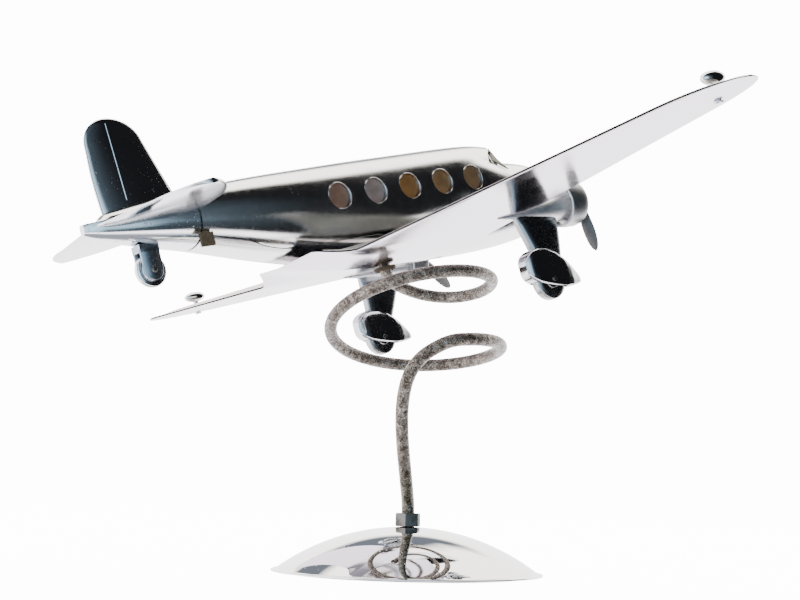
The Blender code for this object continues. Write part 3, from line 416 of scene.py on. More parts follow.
def smooth_mesh(obj, rounds):
    """Evens out the ridges of a lofted casting."""
    work = bmesh.new()
    work.from_mesh(obj.data)
    for _ in range(rounds):
        bmesh.ops.smooth_vert(work, verts=work.verts, factor=0.5, use_axis_x=True, use_axis_y=True,
                              use_axis_z=True)
    work.to_mesh(obj.data)
    work.free()


def around(count, offset=0.0):
    """Equal steps of angle round a full circle."""
    return [2 * pi * (k + offset) / count for k in range(count)]


def powered(value, power):
    """The value raised to a power, with its sign kept."""
    return abs(value) ** power * (1 if value >= 0 else -1)


def read_table(table, at):
    """Reads a table by straight lines. Each row starts with its place, in rising order."""
    rows = np.array(table)
    return [float(np.interp(at, rows[:, 0], rows[:, i])) for i in range(1, rows.shape[1])]


def grid(rows, columns, wrap_rows=False):
    """Quads between rows of points. Each row closes on itself, and so do the rows if asked."""
    return [
        (r * columns + c, r * columns + (c + 1) % columns,
         (r + 1) % rows * columns + (c + 1) % columns, (r + 1) % rows * columns + c)
        for r in range(rows if wrap_rows else rows - 1) for c in range(columns)
    ]


def loft(name, rings, material, **options):
    """A closed solid through rings of points, with a flat cap at each end."""
    columns = len(rings[0])
    points = [p for ring in rings for p in ring]
    faces = grid(len(rings), columns)
    faces.append(tuple(range(columns)))
    faces.append(tuple(range(len(points) - columns, len(points))))
    return build(name, points, faces, material, **options)


def lathe(name, profile, material, axis="X", centre=(0, 0, 0), sides=128, **options):
    """A solid of revolution from a closed (along, radius) profile."""
    points = []
    for angle in around(sides):
        for along, radius in profile:
            a, b = radius * cos(angle), radius * sin(angle)
            local = {"X": (along, a, b), "Y": (a, along, b), "Z": (a, b, along)}[axis]
            points.append(tuple(local[i] + centre[i] for i in range(3)))
    return build(name, points, grid(sides, len(profile), True), material, **options)


def rounded(profile, radius=0.3, steps=4):
    """Rounds each corner of a closed profile that doesn't lie on the axis."""
    out = []
    count = len(profile)
    for i, point in enumerate(profile):
        here = Vector(point)
        before, after = Vector(profile[i - 1]), Vector(profile[(i + 1) % count])
        reach = min(radius, (here - before).length * 0.45, (after - here).length * 0.45)
        turn = (here - before).angle(after - here, 0.0)
        if point[1] < 1e-6 or turn < 0.2 or reach < 1e-3:
            out.append(point)
            continue
        start = here + (before - here).normalized() * reach
        end = here + (after - here).normalized() * reach
        for k in range(steps + 1):
            t = k / steps
            spot = start * (1 - t) ** 2 + here * 2 * t * (1 - t) + end * t * t
            out.append((spot.x, spot.y))
    return out


def tube(name, route, radius, material, sides=40, **options):
    """A round tube along a route of points, with a frame that doesn't twist."""
    rings = []
    side = (route[1] - route[0]).orthogonal().normalized()
    for i, point in enumerate(route):
        ahead = route[min(i + 1, len(route) - 1)]
        along = (ahead - route[max(i - 1, 0)]).normalized()
        side = (side - along * side.dot(along)).normalized()
        up = along.cross(side)
        rings.append([point + radius * (cos(a) * side + sin(a) * up)
                      for a in around(sides)])
    return loft(name, rings, material, **options)


def spline(knots, values, x):
    """Natural cubic spline through the knots."""
    knots, values = np.asarray(knots, float), np.asarray(values, float)
    n = len(knots)
    h = np.diff(knots)
    matrix, right = np.eye(n), np.zeros(n)
    for i in range(1, n - 1):
        matrix[i, i - 1:i + 2] = h[i - 1], 2 * (h[i - 1] + h[i]), h[i]
        right[i] = 6 * ((values[i + 1] - values[i]) / h[i] - (values[i] - values[i - 1]) / h[i - 1])
    bend = np.linalg.solve(matrix, right)
    i = int(np.clip(np.searchsorted(knots, x) - 1, 0, n - 2))
    a, b = knots[i + 1] - x, x - knots[i]
    return float((bend[i] * a ** 3 + bend[i + 1] * b ** 3) / (6 * h[i])
                 + (values[i] / h[i] - bend[i] * h[i] / 6) * a
                 + (values[i + 1] / h[i] - bend[i + 1] * h[i] / 6) * b)


def between(start, end, count):
    """Equal steps from start to end, both of them included."""
    return [start + (end - start) * k / (count - 1) for k in range(count)]


def tip_places(start, end, first, count):
    """Places from start to end that crowd towards a round tip, from an angle of first."""
    return [start + (end - start) * sin(a) for a in between(first, pi / 2, count)]


def mirrored(half):
    """A whole profile from the half of it at positive places, which starts in the middle."""
    return [(-a, r) for a, r in half[::-1]] + half


def smooth_route(points, steps):
    """A smooth curve through all the points, with so many steps between each pair."""
    ends = [2 * points[0] - points[1]] + points + [2 * points[-1] - points[-2]]
    route = []
    for i in range(1, len(ends) - 2):
        p0, p1, p2, p3 = ends[i - 1:i + 3]
        for k in range(steps):
            t = k / steps
            route.append(0.5 * (2 * p1 + (p2 - p0) * t + (2 * p0 - 5 * p1 + 4 * p2 - p3) * t * t
                                + (3 * p1 - p0 - 3 * p2 + p3) * t ** 3))
    return route + [points[-1]]


def evened(route, step, rounds):
    """Points at equal steps along a route, with the small kinks taken out."""
    points = np.array([tuple(p) for p in route])
    along = np.concatenate([[0.0], np.cumsum(np.linalg.norm(np.diff(points, axis=0), axis=1))])
    even = np.linspace(0.0, along[-1], int(along[-1] / step) + 1)
    points = np.stack([np.interp(even, along, points[:, i]) for i in range(3)], axis=1)
    for _ in range(rounds * 3):
        points[1:-1] = (points[:-2] + 2 * points[1:-1] + points[2:]) / 4
    return [Vector(p) for p in points]


def soften(name, width, segments):
    """Bevels the edges of a CAD node; the width is in millimetres."""
    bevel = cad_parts[name].modifiers.new("soft_edges", "BEVEL")
    bevel.width = width * MM
    bevel.segments = segments


def keep_cad(material, *names):
    """Gives CAD nodes that stay visible their finished material."""
    for name in names:
        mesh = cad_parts[name].data
        mesh.materials.clear()
        mesh.materials.append(material)


# ---------------- stand

STAND = Matrix.Identity(4)


def dome_arc(inset, count):
    """The dome's (height, radius) from its bore to its foot, so far inside its outer face."""
    foot = BASE_RADIUS - RIM_WIDTH - inset
    height = DOME_HEIGHT - inset - RIM_BOTTOM - DOME_LIFT
    sphere = (foot ** 2 + height ** 2) / (2 * height)
    top = RIM_BOTTOM + DOME_LIFT + height
    return [(top - sphere + (sphere ** 2 - r ** 2) ** 0.5, r) for r in between(BORE, foot, count)]


def build_base():
    foot = BASE_RADIUS - RIM_WIDTH
    flare = [(RIM_BOTTOM + 0.9 - 0.22 * t, foot + 0.15 + 0.55 * t) for t in between(0.1, 1.0, 5)]
    lip = [(RIM_BOTTOM + 0.34 + 0.34 * sin(a), BASE_RADIUS - 0.36 + 0.34 * cos(a))
           for a in between(radians(70), radians(-90), 9)]
    profile = (dome_arc(0.0, 60) + flare + lip
               + [(RIM_BOTTOM, foot - DOME_THICKNESS)] + dome_arc(DOME_THICKNESS, 20)[::-1][1:])
    lathe("dome_skin", profile, BASE, "Z", sides=256, place=STAND, slot="chrome", instead=("base_dome",))
    keep_cad(IRON, "base_weight")
    keep_cad(FELT, "base_pad")
    keep_cad(NUT_STEEL, "lower_nut", "lower_washer", "anchor_nut")


def build_nut():
    """The visible nut: six flats, corners taken down by a chamfer at both ends."""
    flat, corner, crown, height, sides = 4.2, 4.82, 4.45, 4.8, 144
    bottom = DOME_HEIGHT + 0.15
    turn = radians(9)
    rings = []
    steps = [0.0, 0.06, 0.2, 0.5, 1.0]
    for z in steps + [height - step for step in steps[::-1]]:
        near = min(z, height - z)
        ring = []
        for angle in around(sides):
            away = angle % (pi / 3) - pi / 6
            reach = min(flat / cos(away), crown + near * 1.5, corner) - max(0.0, 0.12 - near)
            ring.append((reach * cos(angle + turn), reach * sin(angle + turn), bottom + z))
        rings.append(ring)
    for z in (height, 0.0):
        rings.append([(BORE * cos(angle + turn), BORE * sin(angle + turn), bottom + z)
                      for angle in around(sides)])
    points = [p for ring in rings for p in ring]
    build("nut_body", points, grid(len(rings), sides, True), NUT_STEEL, place=STAND, sharp=28,
          slot="dark_steel", instead=("stand_nut",))


def coil_point(degrees):
    """A point of the coil, so many degrees round its axis."""
    across = COIL_AXIS.cross(COIL_START_SIDE).normalized()
    side = across.cross(COIL_AXIS)
    angle = radians(degrees)
    rise = COIL_PITCH * degrees / 360
    return COIL_CENTRE + COIL_AXIS * rise + COIL_RADIUS * (cos(angle) * side + sin(angle) * across)


def build_rod():
    """The bent rod with its coil, and the collar under the belly."""
    up = TURN.to_matrix() @ Vector((0, 0, 1))
    post = [Vector((0, 0, 4)), Vector((0, 0, 14)), Vector((0, 0, 24.5)),
            Vector((-3.2, 3.6, 31.5)), Vector((-11.6, 13.2, 49.0)), Vector((-18.6, 21.2, 64.5)),
            Vector((-21.6, 24.4, 73.4))]
    coil = [coil_point(COIL_FROM + (COIL_TO - COIL_FROM) * k / 44) for k in range(45)]
    lead_in = [Vector((30.0, -21.6, 107.4)), Vector((27.4, -14.4, 109.2)), Vector((24.0, -8.2, 111.0)),
               BELLY_POINT - 4.0 * up, BELLY_POINT - 2.0 * up, BELLY_POINT + 8.0 * up]
    points = post + coil + lead_in
    # The joins between the post, the coil and the lead-in are eased
    for _ in range(3):
        for i in (5, 6, 7, 8, -9, -8, -7, -6, -5):
            points[i] = (points[i - 1] + 2 * points[i] + points[i + 1]) / 4
    route = evened(smooth_route(points, 10), 1.0, 4)
    tube("rod_skin", route, ROD_RADIUS, ROD, place=STAND, slot="plated_rod", instead=("stand_rod",))
    bore = BORE + 0.3
    profile = rounded([(-3.6, bore), (-3.6, 3.8), (-3.2, 4.2), (-2.0, 4.4), (-2.0, bore)], 0.25)
    lathe("collar_skin", profile, CLIP, "Z", sides=64, slot="brown_steel", instead=("belly_collar",))


# ---------------- fuselage

def station(x):
    """(half width, bottom, top) of the fuselage at x."""
    knots = [s[0] for s in STATIONS]
    half, bottom, top = (spline(knots, [s[i] for s in STATIONS], x) for i in (1, 2, 3))
    if x >= SCREEN_FOOT[0]:
        top = min(top, spline([h[0] for h in HOOD], [h[1] for h in HOOD], min(x, HOOD[-1][0])))
    elif x > SCREEN_TOP[0]:
        share = (x - SCREEN_TOP[0]) / (SCREEN_FOOT[0] - SCREEN_TOP[0])
        top = SCREEN_TOP[1] + share * (SCREEN_FOOT[1] - SCREEN_TOP[1])
    return half, bottom, top


def section_point(size, angle):
    """(y, z) on the rounded cross-section."""
    half, bottom, top = size
    power = 2 / SECTION_POWER
    y = half * powered(cos(angle), power)
    z = (top + bottom) / 2 + (top - bottom) / 2 * powered(sin(angle), power)
    return y, z


def seam_z(x, size):
    """Height of the seam between the shell and the belly pan, which rises over the wing."""
    _, bottom, top = size
    near_wing = min(1.0, max(0.0, (x + 66) / 26)) * min(1.0, max(0.0, (88 - x) / 30))
    seam = bottom + SEAM_RISE + near_wing * (WING_SEAM_Z - bottom - SEAM_RISE)
    return min(seam, bottom + 0.62 * (top - bottom))


def cut_angle(size, z):
    """Angle at which the cross-section reaches the height z."""
    _, bottom, top = size
    share = max(-0.9999, min(0.9999, (z - (top + bottom) / 2) / ((top - bottom) / 2)))
    return float(np.arcsin(powered(share, SECTION_POWER / 2)))


def swept(x, y, z):
    """Pulls the sides of the nose back, as the windscreen sweeps round."""
    ahead = min(1.0, max(0.0, (x - 36) / 30)) * min(1.0, max(0.0, (97 - x) / 22))
    above = min(1.0, max(0.0, (z - 22) / 10))
    return (x - SCREEN_SWEEP * ahead * above * min(1.0, abs(y) / 14) ** 1.2, y, z)


def upper_ring(x, low_z, size, sides=120):
    start = cut_angle(size, low_z)
    return [swept(x, *section_point(size, start + (pi - 2 * start) * k / sides)) for k in range(sides + 1)]


def lower_ring(x, high_z, size, sides=80):
    start = cut_angle(size, high_z)
    return [(x, *section_point(size, start - (pi + 2 * start) * k / sides)) for k in range(sides + 1)]


def rod_like(name, start, end, radius, sides=64):
    """A plain cutter between two points of the airframe."""
    start, end = Vector(start), Vector(end)
    side = (end - start).orthogonal().normalized()
    up = (end - start).normalized().cross(side)
    rings = [[p + radius * (cos(a) * side + sin(a) * up) for a in around(sides)] for p in (start, end)]
    return loft(name, rings, None)


def window_centres():
    for index in range(5):
        x = WINDOW_MIDDLE_X + WINDOW_PITCH * (index - 2)
        yield index + 1, x, WINDOW_Z + 0.015 * x


def skin_half_width(x, z):
    size = station(x)
    return section_point(size, cut_angle(size, z))[0]


def build_window(shell, side, sign, index, x, z):
    """A round hole in the shell, the foil disc behind it and the thin bright rim in it."""
    half = skin_half_width(x, z)
    cut(shell, rod_like("window_cut", (x, sign * (half - 1.7), z), (x, sign * 30, z), WINDOW_HOLE_RADIUS))
    back, front = half - 2.42, half - 1.47
    profile = rounded([(back, 0.0), (back, WINDOW_DISC_RADIUS), (front, WINDOW_DISC_RADIUS), (front, 0.0)],
                      0.2)
    lathe(f"window_disc_{side}_{index}", [(sign * a, r) for a, r in profile], FOILS[index - 1], "Y",
          (x, 0, z), 64, slot="copper", instead=(f"window_{side}_{index}",))
    face = half - 0.42
    ring = [(face - 1.0, 4.96), (face - 1.0, 5.14), (face, 5.14), (face + 0.06, 5.06), (face, 4.96)]
    lathe(f"window_rim_{side}_{index}", [(sign * a, r) for a, r in ring], CHROME, "Y", (x, 0, z), 96,
          slot="chrome")


def build_fuselage():
    places = (between(SHELL_REAR_X, TAIL_JOINT_X - 0.2, 30) + between(TAIL_JOINT_X + 0.2, SCREEN_TOP[0], 120)
              + between(SCREEN_TOP[0] + 0.4, SCREEN_FOOT[0] - 0.4, 9)
              + between(SCREEN_FOOT[0], 103.0, 50) + between(103.5, 107.2, 16))
    rings = []
    for x in places:
        half, bottom, top = station(x)
        if x < TAIL_ROUND_X:
            share = min(1.0, (TAIL_ROUND_X - x) / (TAIL_ROUND_X - SHELL_REAR_X))
            round_off = max(0.3, (1 - share ** 2) ** 0.5)
            top = TAIL_SPLIT_Z + (top - TAIL_SPLIT_Z) * round_off
            half *= 0.4 + 0.6 * round_off
        size = half, bottom, top
        rings.append(upper_ring(x, TAIL_SPLIT_Z if x < TAIL_JOINT_X else seam_z(x, size), size))
    shell = loft("fuselage_skin", rings, BODY, sharp=32, slot="chrome", instead=("fuselage_shell",))
    for index, x, z in window_centres():
        for side, sign in SIDES:
            build_window(shell, side, sign, index, x, z)
    for side, _ in SIDES:
        for name in (f"windscreen_{side}", f"side_pane_{side}"):
            keep_cad(PANE, name)
            soften(name, 0.12, 2)
    keep_cad(CLIP, "tail_clip")
    soften("tail_clip", 0.5, 3)


# ---------------- wing and belly

def fillet(y):
    """1 where the wing meets the body, and 0 from the start of the fillet outwards."""
    return max(0.0, (FILLET_START - max(abs(y), FILLET_END)) / (FILLET_START - FILLET_END))


def wing_edges(y):
    """x of the trailing and the leading edge."""
    y = abs(y)
    rear = TRAILING[0] + TRAILING[1] * y - 7.0 * fillet(y) ** 1.6
    front = LEADING[0] + LEADING[1] * y
    if y > TIP_START:
        share = min(1.0, (y - TIP_START) / (WING_SPAN_HALF - TIP_START))
        keep = max(0.05, (1 - share ** 2.3) ** 0.45)
        middle, half = (rear + front) / 2, (front - rear) / 2
        rear, front = middle - half * keep, middle + half * keep
    return rear, front


def wing_z(y, share):
    """Height of the underside, share being 0 at the trailing edge and 1 at the leading edge."""
    rise = 5.0 * fillet(y) ** 1.5 * max(0.0, 1 - 1.8 * share) ** 2
    return LOWER_Z[0] + LOWER_Z[1] * abs(y) + rise


def camber(share):
    """Height of the upper skin along the chord, as a share of the wing's depth."""
    return sin(pi * share ** 1.35) ** 0.8 if 0 < share < 1 else 0.0


def span_places(start):
    """Places along the half span, closer together round the tip."""
    return between(start, TIP_START, 90) + tip_places(TIP_START, WING_SPAN_HALF, radians(3), 44)


def edge_round(share, width=0.035):
    """0 at the very edge of a skin, 1 once clear of its rounding."""
    near = min(share, 1 - share) / width
    return 1.0 if near >= 1 else (1 - (1 - near) ** 2) ** 0.5


CHORD = [0.5 - 0.5 * cos(a) for a in between(0.0, pi, 61)]


def tip_share(y):
    """Thins the wing towards its round tip, from 1 to almost 0."""
    if y < TIP_START:
        return 1.0
    return max(0.02, 1 - ((y - TIP_START) / (WING_SPAN_HALF - TIP_START)) ** 2.6) ** 0.5


def skin_ring(y, sign, upper):
    """Section of the upper skin, or of the underside pressing."""
    rear, front = wing_edges(y)
    low, high = [], []
    for share in CHORD:
        x = rear + (front - rear) * share
        z = wing_z(y, share)
        end = max(0.3, tip_share(y))
        lower_thick = (0.42 + 0.68 * sin(pi * share)) * end
        if upper:
            floor = z + lower_thick + 0.3 * end
            depth = (8.2 - 5.2 * min(1.0, y / WING_SPAN_HALF) ** 0.8) * tip_share(y)
            roof = max(z + depth * camber(share), floor + 0.42 * end)
            under = max(floor, roof - 1.1)
            middle, half = (roof + under) / 2, (roof - under) / 2 * edge_round(share)
        else:
            middle, half = z + lower_thick / 2, lower_thick / 2 * max(0.05, edge_round(share))
        low.append((x, sign * y, middle - half))
        high.append((x, sign * y, middle + half))
    return low + high[::-1]


def build_wing():
    places = span_places(0.0)
    signed = [(-1, y) for y in places[:0:-1]] + [(1, y) for y in places]
    rings = [skin_ring(y, sign, upper=False) for sign, y in signed]
    loft("wing_underside", rings, WING, sharp=50, slot="chrome", instead=("wing_lower",))
    pan = []
    for x in between(TAIL_JOINT_X + 0.4, BELLY_FRONT_X, 150):
        size = station(x)
        pan.append(lower_ring(x, seam_z(x, size) - 0.3, size))
    loft("belly_pan", pan, BODY, sharp=40, slot="chrome")
    for side, sign in SIDES:
        rings = [skin_ring(y, sign, upper=True) for y in span_places(WING_TOP_INNER_Y)]
        loft(f"wing_top_{side}", rings, WING_TOP, sharp=50, slot="chrome", instead=(f"wing_upper_{side}",))
        x, y, z = LAMP
        rings = []
        for k in range(1, 48):
            angle = pi * k / 48
            rings.append([(x - LAMP_RADII[0] * cos(angle),
                           sign * y + LAMP_RADII[1] * sin(angle) * cos(a),
                           z + LAMP_RADII[2] * sin(angle) * sin(a)) for a in around(64)])
        loft(f"lamp_pod_{side}", rings, CHROME, slot="chrome", instead=(f"tip_lamp_{side}",))
        low, high = wing_z(y, 0.5), z - LAMP_RADII[2] + 0.3
        profile = rounded([(low - 0.9, 0.0), (low - 0.9, 1.3), (low - 0.3, 1.7), (low - 0.3, 0.9),
                           (high - 1.6, 0.9), (high, 1.3), (high, 0.0)], 0.25)
        lathe(f"lamp_stem_{side}", profile, CAST, "Z", (x, sign * y, 0), 48, slot="pitted_chrome",
              instead=(f"lamp_pin_{side}",))


# ---------------- tail

def blunt(share):
    """Thickness share of a cast surface with full round edges."""
    return max(0.06, 1 - abs(2 * share - 1) ** 3.2) ** 0.5


def build_fin():
    """The fin, with its round top and the rudder line engraved on both faces."""
    rings = []
    for share in between(0.0, FIN_ROUND_FROM, 40) + tip_places(FIN_ROUND_FROM, 1.0, radians(4), 26):
        rear = -115.0 - 0.9 * sin(pi * min(share, 0.62) / 0.9)
        front = -85.6 - 11.0 * share
        if share > FIN_ROUND_FROM:
            bend = (share - FIN_ROUND_FROM) / (1 - FIN_ROUND_FROM)
            keep = max(0.1, (1 - bend ** 2.4) ** 0.5)
            middle, half = (rear + front) / 2 + 0.6 * bend, (front - rear) / 2
            rear, front = middle - half * keep, middle + half * keep
        ring = []
        for port in (1, -1):
            for along in (CHORD if port == 1 else CHORD[::-1]):
                x = rear + (front - rear) * along
                foot = station(max(x, SHELL_REAR_X))[2] - 0.3
                thick = 1.6 * (1 - 0.5 * share) * blunt(along)
                if share > 0.93:
                    thick *= max(0.2, (1 - ((share - 0.93) / 0.07) ** 2) ** 0.5)
                ring.append((x, port * thick, foot + (FIN_TOP_Z - foot) * share))
        rings.append(ring)
    fin = loft("fin_skin", rings, PITTED, sharp=60, slot="chrome", instead=("fin",))
    for sign in (1, -1):
        rings = []
        for x, z, near in ((-105.3, 35.0, 1.25), (-106.4, 62.6, 0.62)):
            rings.append([(x - 0.2, sign * near, z), (x + 0.2, sign * near, z),
                          (x + 0.3, sign * 3, z), (x - 0.3, sign * 3, z)])
        cut(fin, loft("rudder_line", rings, None))


def stab_edges(y):
    """x of the rear and the front edge of the stabilisers."""
    rear = -120.5 + 0.17 * y
    front = -82.0 - 0.19 * y
    if y > STAB_ROUND_FROM:
        share = (y - STAB_ROUND_FROM) / (STAB_HALF_SPAN - STAB_ROUND_FROM)
        keep = max(0.06, (1 - min(1.0, share) ** 2.2) ** 0.5)
        middle, half = (rear + front) / 2 - 3.0 * share, (front - rear) / 2
        rear, front = middle - half * keep, middle + half * keep
    return rear, front


def build_tail():
    places = between(0.0, STAB_ROUND_FROM, 30)
    places += tip_places(STAB_ROUND_FROM, STAB_HALF_SPAN, radians(4), 30)
    rings = []
    for y in [-p for p in places[:0:-1]] + places:
        rear, front = stab_edges(abs(y))
        thick = 1.5 * (1 - 0.4 * abs(y) / STAB_HALF_SPAN)
        low = [(rear + (front - rear) * s, y, STAB_Z - thick * blunt(s)) for s in CHORD]
        high = [(rear + (front - rear) * s, y, STAB_Z + thick * blunt(s)) for s in CHORD]
        rings.append(low + high[::-1])
    loft("stabilisers", rings, CAST, sharp=60, slot="pitted_chrome", instead=("tailplane",))
    cone = []
    for x in [-123.75, -123.6, -123.3, -122.6, -121.6, -120.0] + between(-118.0, TAIL_JOINT_X - 0.3, 50):
        size = station(x)
        cone.append(lower_ring(x, min(TAIL_SPLIT_Z - 0.3, size[2] - 0.15), size))
    loft("tail_cone", cone, PITTED, sharp=40, slot="pitted_chrome")
    build_fin()


def build_tail_wheel():
    """The U fork in three pieces, the wheel and its rivet."""
    x, z = TAIL_WHEEL_X, TAIL_WHEEL_Z
    inner, outer, reach, top = 1.9, 2.8, 3.8, 17.4
    for side, sign in SIDES:
        outline = [(x - reach, top), (x + reach, top)]
        outline += [(x + reach * cos(a), z + reach * sin(a)) for a in between(0.0, -pi, 40)]
        rings = []
        for y, shrink in ((inner, 0.25), (inner + 0.12, 0.0), (outer - 0.25, 0.0), (outer, 0.3)):
            keep = 1 - shrink / reach
            rings.append([(x + (px - x) * keep, sign * y, pz if pz > z + 1 else z + (pz - z) * keep)
                          for px, pz in outline])
        loft(f"fork_cheek_{side}", rings, BRUSHED, sharp=50, slot="pitted_chrome")
    yoke = [(x - reach, -outer, top - 1.2), (x + reach, -outer, top - 1.2),
            (x + reach, outer, top - 1.2), (x - reach, outer, top - 1.2)]
    loft("fork_yoke", [yoke, [(a, b, top + 1.6) for a, b, _ in yoke]], BRUSHED,
         slot="pitted_chrome", instead=("tail_fork",))
    rim = 5.9
    tyre = rounded(mirrored([(0.8, rim), (1.35, rim - 1.1), (1.2, 3.8), (1.5, 3.6), (1.5, 1.1)]), 0.5)
    lathe("tail_wheel_disc", tyre, CHROME, "Y", (x, 0, z), 128, body="tail_wheel_body", slot="chrome",
          instead=("tail_wheel",))
    head = outer + 0.1
    rivet = mirrored([(head, 0.9), (head, 1.35), (head + 0.5, 0.8), (head + 0.6, 0.0)])
    lathe("tail_rivet", rounded(rivet, 0.2), NUT_STEEL, "Y", (x, 0, z), 40, slot="dark_steel",
          instead=("tail_axle",))


# ---------------- engines and gear

def build_leg(side, sign):
    """The leg and the cone of the nacelle. The port leg is splayed and a little longer."""
    rings = []
    for z in between(-LEG_FORM[0][0], -LEG_FORM[-1][0], 50):
        rear, front, half, y = read_table(LEG_FORM, -z)
        bend = ((6.0 - z) / 22.0) ** 1.5
        y += bend * (SPAT_Y[sign] - SPAT_Y[-1])
        middle, reach = (rear + front) / 2, (front - rear) / 2
        rings.append([(middle + reach * powered(cos(a), 0.8), sign * (y + half * powered(sin(a), 0.5)),
                       z - bend * GEAR_DROP[sign]) for a in around(72, 0.5)])
    loft(f"leg_{side}", rings, LEG, sharp=60, slot="pitted_chrome")
    rings = []
    for x in between(NACELLE_TAIL_X, NACELLE_FRONT_X, 60):
        share = (x - NACELLE_TAIL_X) / (NACELLE_FRONT_X - NACELLE_TAIL_X)
        radius = 0.2 + 5.2 * share ** 0.9
        z = 2.6 + 1.0 * share
        rings.append([(x, sign * (ENGINE_Y + radius * cos(a)), z + radius * sin(a)) for a in around(64)])
    loft(f"nacelle_cone_{side}", rings, CONE, slot="pitted_chrome")


def build_spat(side, sign):
    """The wheel spat with its wheel well, and the wheel in it."""
    rings = []
    for x in between(SPAT_FORM[0][0], SPAT_FORM[-1][0], 90):
        high, low, half = read_table(SPAT_FORM, x)
        middle, rise = (high + low) / 2 - GEAR_DROP[sign], (high - low) / 2
        rings.append([(x, sign * (SPAT_Y[sign] + half * powered(cos(a), 0.34)),
                       middle + rise * powered(sin(a), 0.5)) for a in around(96, 0.5)])
    spat = loft(f"spat_{side}", rings, CHEEK, sharp=60, slot="pitted_chrome",
                instead=(f"engine_leg_{side}",))
    smooth_mesh(spat, 6)
    room = WHEEL_HALF_WIDTH + 0.3
    wheel_y, wheel_z = sign * SPAT_Y[sign], WHEEL_Z - GEAR_DROP[sign]
    cut(spat, rod_like("wheel_well", (WHEEL_X, wheel_y - room, wheel_z),
                       (WHEEL_X, wheel_y + room, wheel_z), WHEEL_RADIUS + 0.7))
    half, rim = WHEEL_HALF_WIDTH, WHEEL_RADIUS
    profile = rounded(mirrored([(half - 0.8, rim), (half - 0.1, rim - 1.8), (half - 0.3, 3.3),
                                (half, 3.0), (half, 1.1)]), 0.6)
    lathe(f"wheel_disc_{side}", profile, TYRE_METAL, "Y", (WHEEL_X, wheel_y, wheel_z), 128,
          body=f"main_wheel_{side}_body", slot="pitted_chrome", instead=(f"main_wheel_{side}",))
    keep_cad(NUT_STEEL, f"wheel_axle_{side}")


def build_engine(side, sign):
    """The ring cowl and the lobed disc that carries it."""
    centre = (0, sign * ENGINE_Y, ENGINE_Z)
    outer = [(COWL_REAR_X, COWL_RADIUS - 0.35), (COWL_REAR_X + 3.2, COWL_RADIUS),
             (COWL_FRONT_X - 3.0, COWL_RADIUS), (COWL_FRONT_X - 1.2, COWL_RADIUS - 0.35),
             (COWL_FRONT_X - 0.3, COWL_RADIUS - 1.0), (COWL_FRONT_X, COWL_RADIUS - 2.0)]
    inner = [(x - 0.15, r - 0.8) for x, r in outer[:-1]]
    lathe(f"cowl_{side}", rounded(outer + inner[::-1], 0.35), COWL, "X", centre, 144,
          slot="pitted_chrome", instead=(f"cowl_ring_{side}",))
    rear, front, lobes, sides = NACELLE_FRONT_X + 0.3, NACELLE_FRONT_X + 3.3, 9, 216
    points = []
    for x, scale in ((rear, 0.0), (rear, 0.94), (rear + 0.3, 1.0),
                     (front - 0.3, 1.0), (front, 0.94), (front, 0.0)):
        for a in around(sides):
            wave = max(0.0, cos(lobes * a)) ** 0.5
            r = scale * (5.3 + 2.5 * wave) if scale else 1.2
            points.append((x, centre[1] + r * cos(a), centre[2] + r * sin(a)))
    build(f"engine_star_{side}", points, grid(6, sides, True), CAST, sharp=35, slot="cast_iron",
          instead=(f"engine_disc_{side}",))


def build_propeller(side, sign):
    """Two twisted blades and a hub, which turn together, and the pin that they turn on."""
    hub_at = (PROP_X, sign * ENGINE_Y, ENGINE_Z)
    spin = Matrix.Translation(Vector(hub_at) * MM) @ Matrix.Rotation(radians(PROPELLER_TURN[sign]), 4, "X")
    turning = {"body": f"propeller_{side}_body", "place": AIRFRAME @ spin}
    tip = BLADE_FORM[-1][0]
    places = between(BLADE_FORM[0][0], tip - 1.35, 50) + tip_places(tip - 1.35, tip, 0.1, 14)
    for end, label in ((1, "up"), (-1, "down")):
        rings = []
        for radius in places:
            half = spline([b[0] for b in BLADE_FORM], [b[1] for b in BLADE_FORM], radius)
            twist = radians(38 - 22 * radius / 20.4) * end
            thick = 0.55 - 0.25 * radius / 20.4
            ring = []
            for a in around(36):
                across, deep = max(half, 0.12) * cos(a), thick * min(1, half) * sin(a)
                ring.append((across * sin(twist) + deep * cos(twist),
                             across * cos(twist) - deep * sin(twist), end * radius))
            rings.append(ring)
        loft(f"blade_{label}_{side}", rings, BLADE_STEEL, sharp=70, slot="pitted_chrome", **turning)
    hub = rounded([(-1.3, 1.2), (-1.3, 2.7), (1.0, 2.7), (1.4, 2.2), (1.4, 1.2)], 0.3)
    lathe(f"prop_hub_{side}", hub, CAST, "X", sides=72, slot="pitted_chrome",
          instead=(f"propeller_{side}",), **turning)
    pin = rounded([(-9.6, 0.0), (-9.6, 1.0), (1.65, 1.0), (1.65, 2.0), (2.4, 1.8), (3.0, 1.1), (3.2, 0.0)],
                  0.2)
    lathe(f"prop_pin_{side}", pin, CAST, "X", hub_at, 48, slot="pitted_chrome",
          instead=(f"propeller_pin_{side}",))


# ---------------- stage, light, camera

CAMERA_AT = Vector((-0.4112, 0.3442, 0.0319))
CAMERA_ALONG = Vector((0.7663, -0.6298, 0.1272)).normalized()
CAMERA_ROLL = radians(1.4)
LENS = 65.25


def build_camera():
    right = CAMERA_ALONG.cross(Vector((0, 0, 1))).normalized()
    up = right.cross(CAMERA_ALONG)
    across = right * cos(CAMERA_ROLL) + up * sin(CAMERA_ROLL)
    upward = up * cos(CAMERA_ROLL) - right * sin(CAMERA_ROLL)
    data = bpy.data.cameras.new("camera")
    data.lens = LENS
    data.sensor_width = 36.0
    data.clip_start = 0.01
    camera = bpy.data.objects.new("camera", data)
    bpy.context.scene.collection.objects.link(camera)
    turn = Matrix((across, upward, -CAMERA_ALONG)).transposed()
    camera.matrix_world = Matrix.Translation(CAMERA_AT) @ turn.to_4x4()
    bpy.context.scene.camera = camera


